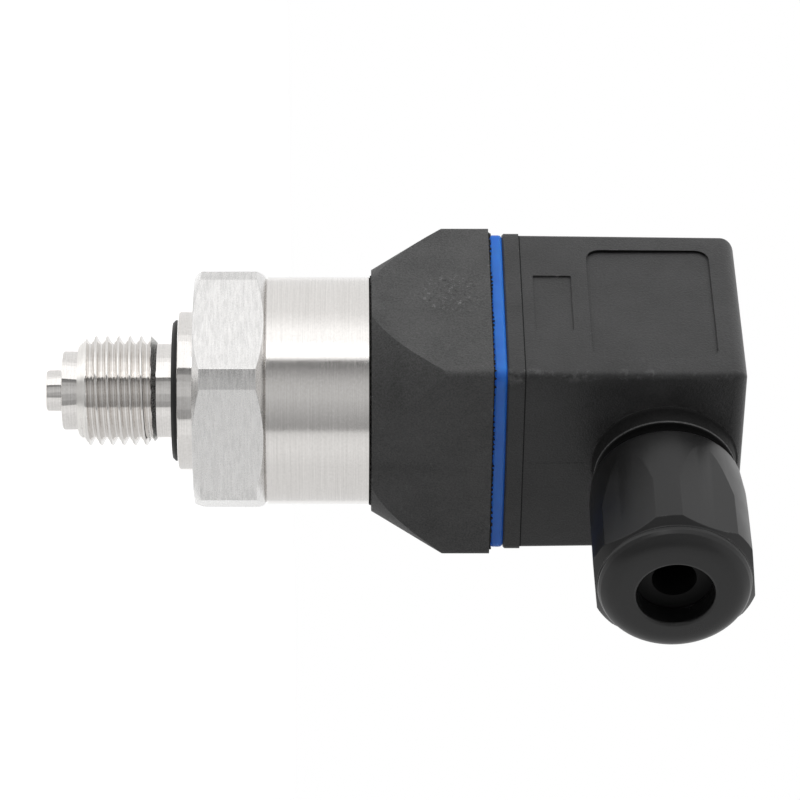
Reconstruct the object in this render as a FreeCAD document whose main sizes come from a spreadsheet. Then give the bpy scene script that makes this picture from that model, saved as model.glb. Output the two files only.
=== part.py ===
# Pressure transmitter with a G 1/4 pressure port and a square angled plug.
# Millimetres. +Z runs along the axis from the port to the plug, the cable gland points to +X.
# The origin lies on the axis, in the plane of the collar's sealing face.
import FreeCAD, Part
import math
import os
import re
import Sketcher
from FreeCAD import Placement, Rotation, Vector

doc = FreeCAD.newDocument("pressure_transmitter")
sizes = doc.addObject("Spreadsheet::Sheet", "Sizes")
sums = doc.addObject("Spreadsheet::Sheet", "Sums")

SIZES = [
    # pressure port, turned in one piece with the spanner hexagon and the cell's cup
    ("pin_diameter", 5.0),
    ("pin_length", 2.0),
    ("nose_diameter", 9.5),
    ("nose_length", 1.9),
    ("nose_shoulder", 0.53),
    ("stem_length", 11.9),
    ("thread_diameter", 13.157),
    ("undercut_depth", 0.88),
    ("undercut_length", 2.55),
    ("port_bore", 3.0),
    ("collar_lip", 1.17),
    ("collar_height", 1.92),
    ("edge_break", 0.3),
    ("hex_width", 27.0),
    ("hex_corner_rise", 1.45),
    ("hex_face_drop", 0.08),
    ("hex_height", 8.35),
    ("hex_chamfer_angle", 30.0),
    ("hex_turn", 14.6),
    ("cup_height", 5.0),
    # sealing ring in the collar's face
    ("ring_outer_diameter", 16.75),
    ("ring_bore_clearance", 0.25),
    ("ring_thickness", 1.5),
    ("ring_recess", 0.8),
    ("ring_clearance", 0.05),
    # ceramic pressure cell, its O-ring and its clamp ring
    ("cell_diameter", 18.0),
    ("cell_height", 6.35),
    ("cell_clearance", 0.2),
    ("cell_standoff", 0.2),
    ("cell_notch_radius", 1.0),
    ("cell_ring_diameter", 12.0),
    ("cell_ring_groove_depth", 1.8),
    ("cell_ring_groove_width", 2.6),
    ("clamp_ring_height", 2.0),
    ("clamp_ring_bore", 13.0),
    ("clamp_ring_clearance", 0.05),
    ("clamp_slot_width", 2.0),
    ("clamp_slot_depth", 1.0),
    # case sleeve
    ("sleeve_diameter", 27.0),
    ("sleeve_wall", 1.23),
    ("sleeve_length", 12.55),
    ("sleeve_fit", 0.02),
    # electronics
    ("lead_diameter", 0.6),
    ("lead_pitch", 2.54),
    ("lead_length", 5.4),
    ("board_width", 16.0),
    ("board_thickness", 1.0),
    ("board_clearance", 1.2),
    ("chip_length", 8.6),
    ("chip_width", 3.9),
    ("chip_height", 1.4),
    ("chip_level", 3.6),
    ("chip_leg_pitch", 1.27),
    ("chip_leg_width", 0.4),
    ("chip_leg_reach", 1.0),
    ("chip_leg_thickness", 0.25),
    ("capacitor_length", 2.0),
    ("capacitor_width", 1.25),
    ("capacitor_height", 0.9),
    ("capacitor_pitch", 4.0),
    ("capacitor_level", 9.2),
    ("terminal_board_clearance", 0.2),
    ("terminal_board_thickness", 1.0),
    ("terminal_board_bore", 4.0),
    ("terminal_board_gap", 0.3),
    # plug base: square at the plug, turned down by a cone to the round case
    ("base_overhang", 0.5),
    ("base_height", 13.98),
    ("base_corner", 0.9),
    ("base_cone_overhang", 0.84),
    ("base_cone_height", 8.43),
    ("base_spigot_length", 5.0),
    ("base_spigot_fit", 0.05),
    ("base_spigot_wall", 1.08),
    ("base_top_wall", 3.0),
    ("base_boss_wall", 1.6),
    ("base_ring_groove_depth", 1.08),
    ("base_ring_groove_width", 1.9),
    ("base_ring_groove_level", 1.5),
    ("insert_diameter", 4.8),
    ("insert_length", 6.0),
    # contacts
    ("contact_inset", 1.06),
    ("blade_width", 6.3),
    ("blade_thickness", 0.8),
    ("blade_reach", 9.0),
    ("blade_chamfer", 1.0),
    ("tail_width", 2.0),
    ("tail_length", 5.2),
    ("slot_fit", 0.02),
    ("tail_fit", 0.1),
    ("blade_room", 0.45),
    # flat gasket between the plug base and the plug
    ("gasket_setback", 0.43),
    ("gasket_thickness", 1.6),
    ("gasket_corner", 1.35),
    ("gasket_hole", 6.0),
    # plug housing
    ("lip_height", 2.0),
    ("housing_setback", 0.2),
    ("housing_wall", 1.75),
    ("housing_height", 25.7),
    ("housing_draft", 0.45),
    ("housing_corner", 0.95),
    ("housing_top_round", 0.9),
    ("housing_top_wall", 2.0),
    ("cavity_corner", 1.2),
    ("label_pad_side_margin", 3.2),
    ("label_pad_top_margin", 3.2),
    ("label_pad_rise", 7.9),
    ("label_pad_depth", 0.36),
    ("label_pad_corner", 1.5),
    ("code_frame_width", 10.3),
    ("code_frame_height", 4.5),
    ("code_frame_rise", 1.45),
    ("code_frame_depth", 0.22),
    ("code_frame_corner", 0.2),
    ("post_wall", 0.95),
    ("screw_clearance", 0.2),
    ("screw_counterbore", 6.5),
    ("screw_counterbore_depth", 3.4),
    # cable gland on the housing's +X side
    ("gland_drop", 9.15),
    ("gland_boss_diameter", 16.7),
    ("gland_boss_length", 2.48),
    ("gland_flare", 0.4),
    ("neck_diameter", 14.4),
    ("neck_length", 16.13),
    ("neck_wall", 1.03),
    ("grommet_ledge", 0.8),
    ("grommet_seat_depth", 4.1),
    ("grommet_fit", 0.1),
    ("grommet_bore", 5.1),
    ("grommet_stand", 0.8),
    ("grommet_nose_diameter", 9.05),
    ("grommet_nose_length", 0.6),
    ("nut_width", 18.0),
    ("nut_turn", 6.0),
    ("nut_corner_rise", 0.63),
    ("nut_rear_drop", 0.5),
    ("nut_rear_cone", 6.2),
    ("nut_rear_gap", 1.83),
    ("nut_dome_drop", 0.22),
    ("nut_dome_height", 2.47),
    ("nut_dome_round", 2.4),
    ("nut_end_chamfer", 0.75),
    ("nut_hole", 8.84),
    ("nut_front_wall", 2.67),
    ("nut_thread_clearance", 0.08),
    ("thrust_ring_clearance", 0.18),
    ("thrust_ring_thickness", 0.8),
    # terminal block inside the plug
    ("block_clearance", 0.1),
    ("block_rise", 0.3),
    ("block_rim", 0.3),
    ("block_hole", 4.4),
    ("block_floor", 0.5),
    ("fork_side", 0.25),
    ("fork_depth", 2.6),
    ("fork_play", 0.05),
    ("fork_tip_room", 0.4),
    ("clamp_width", 4.3),
    ("clamp_inset", 0.65),
    ("clamp_height", 3.7),
    ("pocket_fit", 0.05),
    ("wire_hole", 2.2),
    ("terminal_screw_diameter", 3.0),
    ("terminal_screw_length", 2.4),
    ("terminal_head_diameter", 4.2),
    ("terminal_head_height", 1.6),
    ("terminal_screw_slot", 0.6),
    ("terminal_head_gap", 0.3),
    # central plug screw
    ("screw_diameter", 3.0),
    ("screw_grip", 4.1),
    ("screw_head_diameter", 5.5),
    ("screw_head_height", 2.0),
    ("screw_slot_width", 0.9),
    ("screw_slot_depth", 1.1),
    ("insert_clearance", 0.05),
    ("washer_side_clearance", 0.15),
    ("washer_thickness", 0.5),
    ("washer_clearance", 0.15),
    ("seal_thickness", 0.6),
]

for row, (alias, value) in enumerate(SIZES, start=1):
    sizes.set(f"A{row}", alias)
    sizes.set(f"B{row}", str(value))
    sizes.setAlias(f"B{row}", alias)
doc.recompute()

ALIASES = {alias for alias, _ in SIZES}
nodes = []


def bound(text):
    # an expression over the sheet, from one written with bare size names
    return re.sub(r"[a-z_]+", lambda m: f"Sizes.{m.group()}" if m.group() in ALIASES else m.group(), text)


# widths and radii that mating pieces share, from the case outwards
sleeve_bore = "(sleeve_diameter / 2 - sleeve_wall)"
cup_radius = "(cell_diameter / 2 + cell_clearance)"
thread_radius = "(thread_diameter / 2)"
undercut_radius = f"({thread_radius} - undercut_depth)"
base_width = "(sleeve_diameter + 2 * base_overhang)"
spigot_radius = f"({sleeve_bore} - base_spigot_fit)"
base_groove_radius = f"({spigot_radius} - base_ring_groove_depth)"
base_cavity_radius = f"({base_groove_radius} - base_spigot_wall)"
contact_radius = f"({base_cavity_radius} - contact_inset)"
clamp_centre = f"({contact_radius} - clamp_inset)"
gasket_width = f"({base_width} - 2 * gasket_setback)"
housing_width = f"({gasket_width} - 2 * housing_setback)"
cavity_width = f"({housing_width} - 2 * housing_wall)"
blade_slot_width = "(blade_width + 2 * blade_room)"
blade_slot_height = "(blade_thickness + 2 * blade_room)"
fork_width = "(blade_width + 2 * fork_side)"
screw_way_radius = "(screw_diameter / 2 + screw_clearance)"
# heights along the axis
stem_end = "(-stem_length)"
nose_end = f"({stem_end} - nose_length)"
pin_end = f"({nose_end} - pin_length)"
hex_bottom = "collar_height"
hex_top = "(collar_height + hex_height)"
hex_middle = "(collar_height + hex_height / 2)"
cup_top = f"({hex_top} + cup_height)"
sleeve_top = f"({hex_top} + sleeve_length)"
cell_top = f"({cup_top} - clamp_ring_height)"
cell_bottom = f"({cell_top} - cell_height)"
cup_floor = f"({cell_bottom} - cell_standoff)"
base_bottom = sleeve_top
base_top = f"({base_bottom} + base_height)"
base_ceiling = f"({base_top} - base_top_wall)"
boss_end = f"({base_top} - insert_length)"
spigot_end = f"({base_bottom} - base_spigot_length)"
board_bottom = f"({cup_top} + board_clearance)"
terminal_top = f"({boss_end} - terminal_board_gap)"
terminal_bottom = f"({terminal_top} - terminal_board_thickness)"
gasket_top = f"({base_top} + gasket_thickness)"
lip_top = f"({gasket_top} + lip_height)"
housing_top = f"({lip_top} + housing_height)"
cavity_top = f"({housing_top} - housing_top_wall)"
block_bottom = f"({gasket_top} + block_rise)"
pocket_floor = f"({block_bottom} + block_floor)"
blade_tip = f"({base_top} + blade_reach)"
fork_top = f"({blade_tip} + fork_tip_room)"
clamp_top = f"({fork_top} + clamp_height)"
block_top = f"({clamp_top} + block_rim)"
counterbore_floor = f"({housing_top} - screw_counterbore_depth)"
washer_bottom = f"({counterbore_floor} + seal_thickness)"
screw_seat = f"({washer_bottom} + washer_thickness)"
screw_length = f"({screw_seat} - {base_top} + screw_grip)"
gland_level = f"({housing_top} - gland_drop)"
# stations and radii along the gland's axis
housing_face = f"({housing_width} / 2)"
gland_boss_end = f"({housing_face} + gland_boss_length)"
neck_end = f"({gland_boss_end} + neck_length)"
neck_bore = "(neck_diameter / 2 - neck_wall)"
grommet_seat = f"({gland_boss_end} + grommet_seat_depth)"
grommet_radius = f"({neck_bore} - grommet_fit)"
grommet_end = f"({neck_end} + grommet_stand)"
nut_rear = f"({gland_boss_end} + nut_rear_gap)"
nut_shoulder = f"({grommet_end} + thrust_ring_thickness)"
nut_front = f"({nut_shoulder} + nut_front_wall)"
nut_hex_end = f"({nut_front} - nut_dome_height)"
nut_bore = "(neck_diameter / 2 + nut_thread_clearance)"


def new_body(label, turned=None):
    # a body named after its node; turned is its rotation about an axis through the origin
    body = doc.addObject("PartDesign::Body", label)
    body.Label = label
    if turned:
        body.Placement = Placement(Vector(), turned)
    nodes.append(body)
    return body


def sketch(body, name, role, lift="0", shift="0"):
    # a sketch on one of the body's own planes, lifted off it and shifted up in it
    plane = next(f for f in body.Origin.OriginFeatures if f.Role == role)
    drawing = body.newObject("Sketcher::SketchObject", f"{body.Label}_{name}")
    drawing.AttachmentSupport = [(plane, "")]
    drawing.MapMode = "FlatFace"
    drawing.setExpression("AttachmentOffset.Base.z", bound(lift))
    drawing.setExpression("AttachmentOffset.Base.y", bound(shift))
    return drawing


def value(text):
    # the number that an expression over the sheet gives now
    sums.set("A1", f"={bound(text)}")
    sums.recompute()
    return float(sums.get("A1"))


def arc_edge(start, end, radius, side):
    # an arc from start to end whose centre lies on the given side of the chord, left being 1
    chord = end - start
    middle = (start + end) / 2
    normal = Vector(-chord.y, chord.x).normalize() * side
    centre = middle + normal * math.sqrt(max(radius ** 2 - (chord.Length / 2) ** 2, 0))
    through = centre + (middle - centre).normalize() * radius
    return Part.Arc(start, through, end)


def outline(drawing, points, arcs=None):
    # a closed run of edges whose corners are driven by the sheet; arcs gives, for the edges that
    # are round, the radius and the side on which the centre lies
    arcs = arcs or {}
    count = len(points)
    if arcs:
        ring = [Vector(value(x), value(y)) for x, y in points]
    else:
        ring = [Vector(math.cos(2 * math.pi * i / count), math.sin(2 * math.pi * i / count)) * 20
                for i in range(count)]
    ends = []
    for i in range(count):
        start, end = ring[i], ring[(i + 1) % count]
        edge = Part.LineSegment(start, end)
        if i in arcs:
            edge = arc_edge(start, end, value(arcs[i][0]), arcs[i][1])
        index = drawing.addGeometry(edge, False)
        placed = drawing.Geometry[index]
        forward = i not in arcs or (placed.StartPoint - start).Length < 1e-6
        ends.append((index, 1, 2) if forward else (index, 2, 1))
    for (index, _, tail), (following, head, _) in zip(ends, ends[1:] + ends[:1]):
        drawing.addConstraint(Sketcher.Constraint("Coincident", index, tail, following, head))
    for (index, head, _), point in zip(ends, points):
        for kind, text in zip(("DistanceX", "DistanceY"), point):
            begun = value(text) if arcs else 1.0
            constraint = drawing.addConstraint(Sketcher.Constraint(kind, -1, 1, index, head, begun))
            drawing.setExpression(f"Constraints[{constraint}]", bound(text))
    for i, (radius, _) in arcs.items():
        constraint = drawing.addConstraint(Sketcher.Constraint("Radius", ends[i][0], value(radius)))
        drawing.setExpression(f"Constraints[{constraint}]", bound(radius))


def circle(drawing, across, up, radius):
    # a circle whose centre and radius are driven by the sheet
    index = drawing.addGeometry(Part.Circle(Vector(1, 1, 0), Vector(0, 0, 1), 1), False)
    for kind, text in (("DistanceX", across), ("DistanceY", up)):
        constraint = drawing.addConstraint(Sketcher.Constraint(kind, -1, 1, index, 3, 1.0))
        drawing.setExpression(f"Constraints[{constraint}]", bound(text))
    constraint = drawing.addConstraint(Sketcher.Constraint("Radius", index, 1.0))
    drawing.setExpression(f"Constraints[{constraint}]", bound(radius))


def rectangle(drawing, left, right, low, high):
    outline(drawing, [(left, low), (right, low), (right, high), (left, high)])


def rounded_rectangle(drawing, left, right, low, high, corner):
    outline(drawing, [
        (f"{left} + {corner}", low), (f"{right} - {corner}", low), (right, f"{low} + {corner}"),
        (right, f"{high} - {corner}"), (f"{right} - {corner}", high), (f"{left} + {corner}", high),
        (left, f"{high} - {corner}"), (left, f"{low} + {corner}")],
        arcs={i: (corner, 1) for i in (1, 3, 5, 7)})


def square(drawing, width, corner):
    rounded_rectangle(drawing, f"-{width} / 2", f"{width} / 2", f"-{width} / 2", f"{width} / 2", corner)


def feature(body, kind, name, drawing, **values):
    # a PartDesign feature made from a sketch
    made = body.newObject(f"PartDesign::{kind}", f"{body.Label}_{name}")
    made.Profile = drawing
    for key, value in values.items():
        setattr(made, key, value)
    return made


def pad(body, name, drawing, length, **values):
    made = feature(body, "Pad", name, drawing, **values)
    made.setExpression("Length", bound(length))
    settle(made)
    return made


def pocket(body, name, drawing, length, **values):
    made = feature(body, "Pocket", name, drawing, **values)
    made.setExpression("Length", bound(length))
    cut_something(made)
    return made


def turn(body, name, points, axis="V_Axis", shift="0", cut=False, arcs=None):
    # a turned form: its half section lies in the XZ plane
    drawing = sketch(body, f"{name}_section", "XZ_Plane", shift=shift)
    outline(drawing, points, arcs)
    made = feature(body, "Groove" if cut else "Revolution", name, drawing, ReferenceAxis=(drawing, [axis]))
    made.Angle = 360
    if cut:
        cut_something(made)
    else:
        settle(made)
    return made


def settle(made):
    doc.recompute()
    if "Invalid" in made.State or made.Shape.isNull() or not made.Shape.isValid():
        raise RuntimeError(f"{made.Label} failed: {made.State}")


def cut_something(made):
    # a cut that points away from its solid would change nothing
    settle(made)
    if made.BaseFeature.Shape.Volume - made.Shape.Volume < 1e-4:
        raise RuntimeError(f"{made.Label} cuts nothing")


def dress(body, kind, name, value, chosen):
    # a fillet or chamfer on the edges that the function chosen picks
    base = body.Tip
    edges = [f"Edge{i}" for i, edge in enumerate(base.Shape.Edges, start=1) if chosen(edge)]
    made = body.newObject(f"PartDesign::{kind}", f"{body.Label}_{name}")
    made.Base = (base, edges)
    made.setExpression("Radius" if kind == "Fillet" else "Size", bound(value))
    settle(made)
    return made


def group(label, members):
    # like pieces that share a node and stay separate solids
    made = doc.addObject("Part::Compound", label)
    made.Label = label
    made.Links = members
    nodes.append(made)
    return made


def o_ring(label, inner, outer, low, high):
    # a rubber ring squeezed in its groove: flat where it bears, its corners rounded off
    body = new_body(label)
    corner = f"({outer} - ({inner})) * 0.3"
    turn(body, "ring", [
        (f"{inner} + {corner}", low), (f"{outer} - {corner}", low), (outer, f"{low} + {corner}"),
        (outer, f"{high} - {corner}"), (f"{outer} - {corner}", high), (f"{inner} + {corner}", high),
        (inner, f"{high} - {corner}"), (inner, f"{low} + {corner}")])


def process_connection():
    body = new_body("process_connection")
    corner = "(hex_width / 2 + hex_corner_rise)"
    face = "(hex_width / 2 - hex_face_drop)"
    bevel = f"(({corner} - {face}) * tan(hex_chamfer_angle))"
    drawing = sketch(body, "hexagon", "XY_Plane", lift=hex_bottom)
    across_corners = "hex_width / 2 / cos(30)"
    outline(drawing, [(f"{across_corners} * cos({30 + 60 * k} - hex_turn)",
                       f"{across_corners} * sin({30 + 60 * k} - hex_turn)") for k in range(6)])
    pad(body, "hex", drawing, "hex_height")
    turn(body, "hex_turning", [
        ("hex_width", f"{hex_top} + 1"), (face, f"{hex_top} + 1"), (face, hex_top),
        (corner, f"{hex_top} - {bevel}"), (corner, f"{hex_bottom} + {bevel}"), (face, hex_bottom),
        (face, f"{hex_bottom} - 1"), ("hex_width", f"{hex_bottom} - 1")], cut=True)

    pin, nose = "pin_diameter / 2", "nose_diameter / 2"
    ring_seat = "(ring_outer_diameter / 2 + ring_clearance)"
    collar, cup = f"({ring_seat} + collar_lip)", f"({sleeve_bore} - sleeve_fit)"
    turn(body, "port", [
        ("0", pin_end), (f"{pin} - edge_break", pin_end), (pin, f"{pin_end} + edge_break"),
        (pin, nose_end), (f"{nose} - edge_break", nose_end), (nose, f"{nose_end} + edge_break"),
        (nose, stem_end), (f"{nose} + nose_shoulder", stem_end),
        (thread_radius, f"{stem_end} + {thread_radius} - {nose} - nose_shoulder"),
        (thread_radius, "-undercut_length - undercut_depth"), (undercut_radius, "-undercut_length"),
        (undercut_radius, "ring_recess"), (ring_seat, "ring_recess"), (ring_seat, "0"),
        (f"{collar} - edge_break", "0"), (collar, "edge_break"), (collar, hex_middle),
        (cup, hex_middle), (cup, f"{cup_top} - edge_break"), (f"{cup} - edge_break", cup_top),
        ("0", cup_top)])

    ring_in = "((cell_ring_diameter - cell_ring_groove_width) / 2)"
    ring_out = "((cell_ring_diameter + cell_ring_groove_width) / 2)"
    groove_floor = f"{cup_floor} - cell_ring_groove_depth"
    turn(body, "bore_and_cup", [
        ("0", f"{pin_end} - 1"), ("port_bore / 2", f"{pin_end} - 1"), ("port_bore / 2", cup_floor),
        (ring_in, cup_floor), (ring_in, groove_floor), (ring_out, groove_floor), (ring_out, cup_floor),
        (cup_radius, cup_floor), (cup_radius, f"{cup_top} + 1"), ("0", f"{cup_top} + 1")], cut=True)


def sealing_ring():
    body = new_body("sealing_ring")
    inner, outer = f"({undercut_radius} + ring_bore_clearance)", "ring_outer_diameter / 2"
    low, high = "(ring_recess - ring_thickness)", "ring_recess"
    turn(body, "ring", [(inner, low), (f"{outer} - edge_break", low), (outer, f"{low} + edge_break"),
                        (outer, high), (inner, high)])


def cell_o_ring():
    section = "(cell_ring_groove_depth + cell_standoff)"
    o_ring("cell_o_ring", f"cell_ring_diameter / 2 - {section} / 2",
           f"cell_ring_diameter / 2 + {section} / 2", f"{cell_bottom} - {section}", cell_bottom)


def pressure_cell():
    body = new_body("pressure_cell")
    radius = "cell_diameter / 2"
    turn(body, "disc", [
        ("0", cell_bottom), (f"{radius} - edge_break", cell_bottom),
        (radius, f"{cell_bottom} + edge_break"), (radius, f"{cell_top} - edge_break"),
        (f"{radius} - edge_break", cell_top), ("0", cell_top)])
    # locating notches in the rim, a third of a turn apart
    drawing = sketch(body, "notch", "XY_Plane", lift=cell_top)
    for angle in (0, 120, 240):
        circle(drawing, f"{radius} * cos({angle})", f"{radius} * sin({angle})", "cell_notch_radius")
    pocket(body, "notches", drawing, "cell_height")


def clamp_ring():
    body = new_body("clamp_ring")
    outer = f"({cup_radius} - clamp_ring_clearance)"
    turn(body, "ring", [("clamp_ring_bore / 2", cell_top), (outer, cell_top), (outer, cup_top),
                        ("clamp_ring_bore / 2", cup_top)])
    drawing = sketch(body, "slot", "XY_Plane", lift=cup_top)
    rectangle(drawing, "-cell_diameter", "cell_diameter", "-clamp_slot_width / 2", "clamp_slot_width / 2")
    pocket(body, "spanner_slot", drawing, "clamp_slot_depth")


def case_sleeve():
    body = new_body("case_sleeve")
    outer = "sleeve_diameter / 2"
    turn(body, "tube", [
        (sleeve_bore, hex_top), (f"{outer} - edge_break", hex_top), (outer, f"{hex_top} + edge_break"),
        (outer, f"{sleeve_top} - edge_break"), (f"{outer} - edge_break", sleeve_top),
        (sleeve_bore, sleeve_top)])


def cell_leads():
    leads = []
    for k in range(4):
        lead = doc.addObject("Part::Cylinder", f"lead_{k + 1}")
        lead.setExpression("Radius", bound("lead_diameter / 2"))
        lead.setExpression("Height", bound("lead_length"))
        lead.setExpression("Placement.Base.x", bound(f"{k - 1.5} * lead_pitch"))
        lead.setExpression("Placement.Base.y", bound("(board_thickness + lead_diameter) / 2"))
        lead.setExpression("Placement.Base.z", bound(cell_top))
        leads.append(lead)
    group("cell_leads", leads)


def main_board():
    body = new_body("main_board")
    drawing = sketch(body, "outline", "XZ_Plane", lift="-board_thickness / 2")
    half, cut = "board_width / 2", "edge_break * 3"
    outline(drawing, [
        (f"-{half} + {cut}", board_bottom), (f"{half} - {cut}", board_bottom),
        (half, f"{board_bottom} + {cut}"), (half, terminal_bottom), (f"-{half}", terminal_bottom),
        (f"-{half}", f"{board_bottom} + {cut}")])
    pad(body, "plate", drawing, "board_thickness")


def amplifier_chip():
    body = new_body("amplifier_chip")
    level = f"({board_bottom} + chip_level)"
    drawing = sketch(body, "case", "XZ_Plane", lift="board_thickness / 2")
    rectangle(drawing, "-chip_length / 2", "chip_length / 2", f"{level} - chip_width / 2",
              f"{level} + chip_width / 2")
    pad(body, "moulding", drawing, "chip_height")
    drawing = sketch(body, "legs", "XZ_Plane", lift="board_thickness / 2")
    for k in range(-3, 4):
        rectangle(drawing, f"{k} * chip_leg_pitch - chip_leg_width / 2",
                  f"{k} * chip_leg_pitch + chip_leg_width / 2",
                  f"{level} - chip_width / 2 - chip_leg_reach", f"{level} + chip_width / 2 + chip_leg_reach")
    pad(body, "leg_row", drawing, "chip_leg_thickness")


def capacitors():
    made = []
    for k in range(-1, 2):
        block = doc.addObject("Part::Box", f"capacitor_{k + 2}")
        block.setExpression("Length", bound("capacitor_length"))
        block.setExpression("Width", bound("capacitor_height"))
        block.setExpression("Height", bound("capacitor_width"))
        block.setExpression("Placement.Base.x", bound(f"{k} * capacitor_pitch - capacitor_length / 2"))
        block.setExpression("Placement.Base.y", bound("board_thickness / 2"))
        block.setExpression("Placement.Base.z", bound(f"{board_bottom} + capacitor_level"))
        made.append(block)
    group("capacitors", made)


def contact_slots(drawing, width, thickness):
    # one slot for each of the four contacts, flat side to the axis
    for across, up, wide, high in ((contact_radius, "0", thickness, width),
                                   (f"-{contact_radius}", "0", thickness, width),
                                   ("0", contact_radius, width, thickness),
                                   ("0", f"-{contact_radius}", width, thickness)):
        rectangle(drawing, f"{across} - {wide} / 2", f"{across} + {wide} / 2",
                  f"{up} - {high} / 2", f"{up} + {high} / 2")


def terminal_board():
    body = new_body("terminal_board")
    drawing = sketch(body, "disc", "XY_Plane", lift=terminal_bottom)
    circle(drawing, "0", "0", f"{base_cavity_radius} - terminal_board_clearance")
    circle(drawing, "0", "0", "terminal_board_bore / 2")
    contact_slots(drawing, "(tail_width + 2 * tail_fit)", "(blade_thickness + 2 * tail_fit)")
    pad(body, "plate", drawing, "terminal_board_thickness")


def plug_base():
    body = new_body("plug_base")
    drawing = sketch(body, "square", "XY_Plane", lift=base_bottom)
    square(drawing, base_width, "base_corner")
    pad(body, "block", drawing, "base_height")
    # the cone that turns the square down to the round case
    start = "(sleeve_diameter / 2 + base_cone_overhang)"
    reach = f"({base_width} / 2 * sqrt(2) - base_corner * (sqrt(2) - 1))"
    far = base_width
    turn(body, "cone", [
        (start, f"{base_bottom} - 1"), (far, f"{base_bottom} - 1"),
        (far, f"{base_bottom} + base_cone_height * ({far} - {start}) / ({reach} - {start})"),
        (start, base_bottom)], cut=True)
    spigot = spigot_radius
    groove_low = f"({spigot_end} + base_ring_groove_level)"
    groove_high = f"({groove_low} + base_ring_groove_width)"
    middle = f"({base_bottom} + 1)"
    turn(body, "spigot", [
        ("0", spigot_end), (f"{spigot} - edge_break", spigot_end), (spigot, f"{spigot_end} + edge_break"),
        (spigot, groove_low), (base_groove_radius, groove_low), (base_groove_radius, groove_high),
        (spigot, groove_high), (spigot, middle), ("0", middle)])
    cavity, insert = base_cavity_radius, "insert_diameter / 2"
    boss = f"({insert} + base_boss_wall)"
    turn(body, "cavity", [
        ("0", f"{spigot_end} - 1"), (cavity, f"{spigot_end} - 1"), (cavity, base_ceiling),
        (boss, base_ceiling), (boss, boss_end), ("0", boss_end)], cut=True)
    turn(body, "insert_hole", [
        ("0", f"{boss_end} - 1"), (f"{insert} + slot_fit", f"{boss_end} - 1"),
        (f"{insert} + slot_fit", f"{base_top} + 1"), ("0", f"{base_top} + 1")], cut=True)
    drawing = sketch(body, "blade_slots", "XY_Plane", lift=base_top)
    contact_slots(drawing, "(blade_width + 2 * slot_fit)", "(blade_thickness + 2 * slot_fit)")
    pocket(body, "blades", drawing, "base_top_wall + 1")


def base_o_ring():
    section = f"({sleeve_bore} - {base_groove_radius})"
    middle = f"({spigot_end} + base_ring_groove_level + base_ring_groove_width / 2)"
    o_ring("base_o_ring", base_groove_radius, sleeve_bore, f"{middle} - {section} / 2",
           f"{middle} + {section} / 2")


def screw_insert():
    body = new_body("screw_insert")
    bore, outer = "(screw_diameter / 2 + insert_clearance)", "insert_diameter / 2"
    waist = f"({outer} - edge_break)"
    third = "insert_length / 3"
    turn(body, "insert", [
        (bore, boss_end), (outer, boss_end), (outer, f"{boss_end} + {third}"),
        (waist, f"{boss_end} + {third}"), (waist, f"{base_top} - {third}"),
        (outer, f"{base_top} - {third}"), (outer, base_top), (bore, base_top)])


def contact_blade(label, quarter):
    body = new_body(label, Rotation(Vector(0, 0, 1), 90 * quarter))
    drawing = sketch(body, "outline", "YZ_Plane", lift=f"{contact_radius} - blade_thickness / 2")
    half, tail = "blade_width / 2", "tail_width / 2"
    tail_end = f"({base_ceiling} - tail_length)"
    outline(drawing, [
        (f"-{tail}", tail_end), (tail, tail_end), (tail, base_ceiling), (half, base_ceiling),
        (half, f"{blade_tip} - blade_chamfer"), (f"{half} - blade_chamfer", blade_tip),
        (f"-{half} + blade_chamfer", blade_tip), (f"-{half}", f"{blade_tip} - blade_chamfer"),
        (f"-{half}", base_ceiling), (f"-{tail}", base_ceiling)])
    pad(body, "strip", drawing, "blade_thickness")


def profile_gasket():
    body = new_body("profile_gasket")
    drawing = sketch(body, "square", "XY_Plane", lift=base_top)
    square(drawing, gasket_width, "gasket_corner")
    circle(drawing, "0", "0", "gasket_hole / 2")
    contact_slots(drawing, blade_slot_width, blade_slot_height)
    pad(body, "sheet", drawing, "gasket_thickness")


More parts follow.
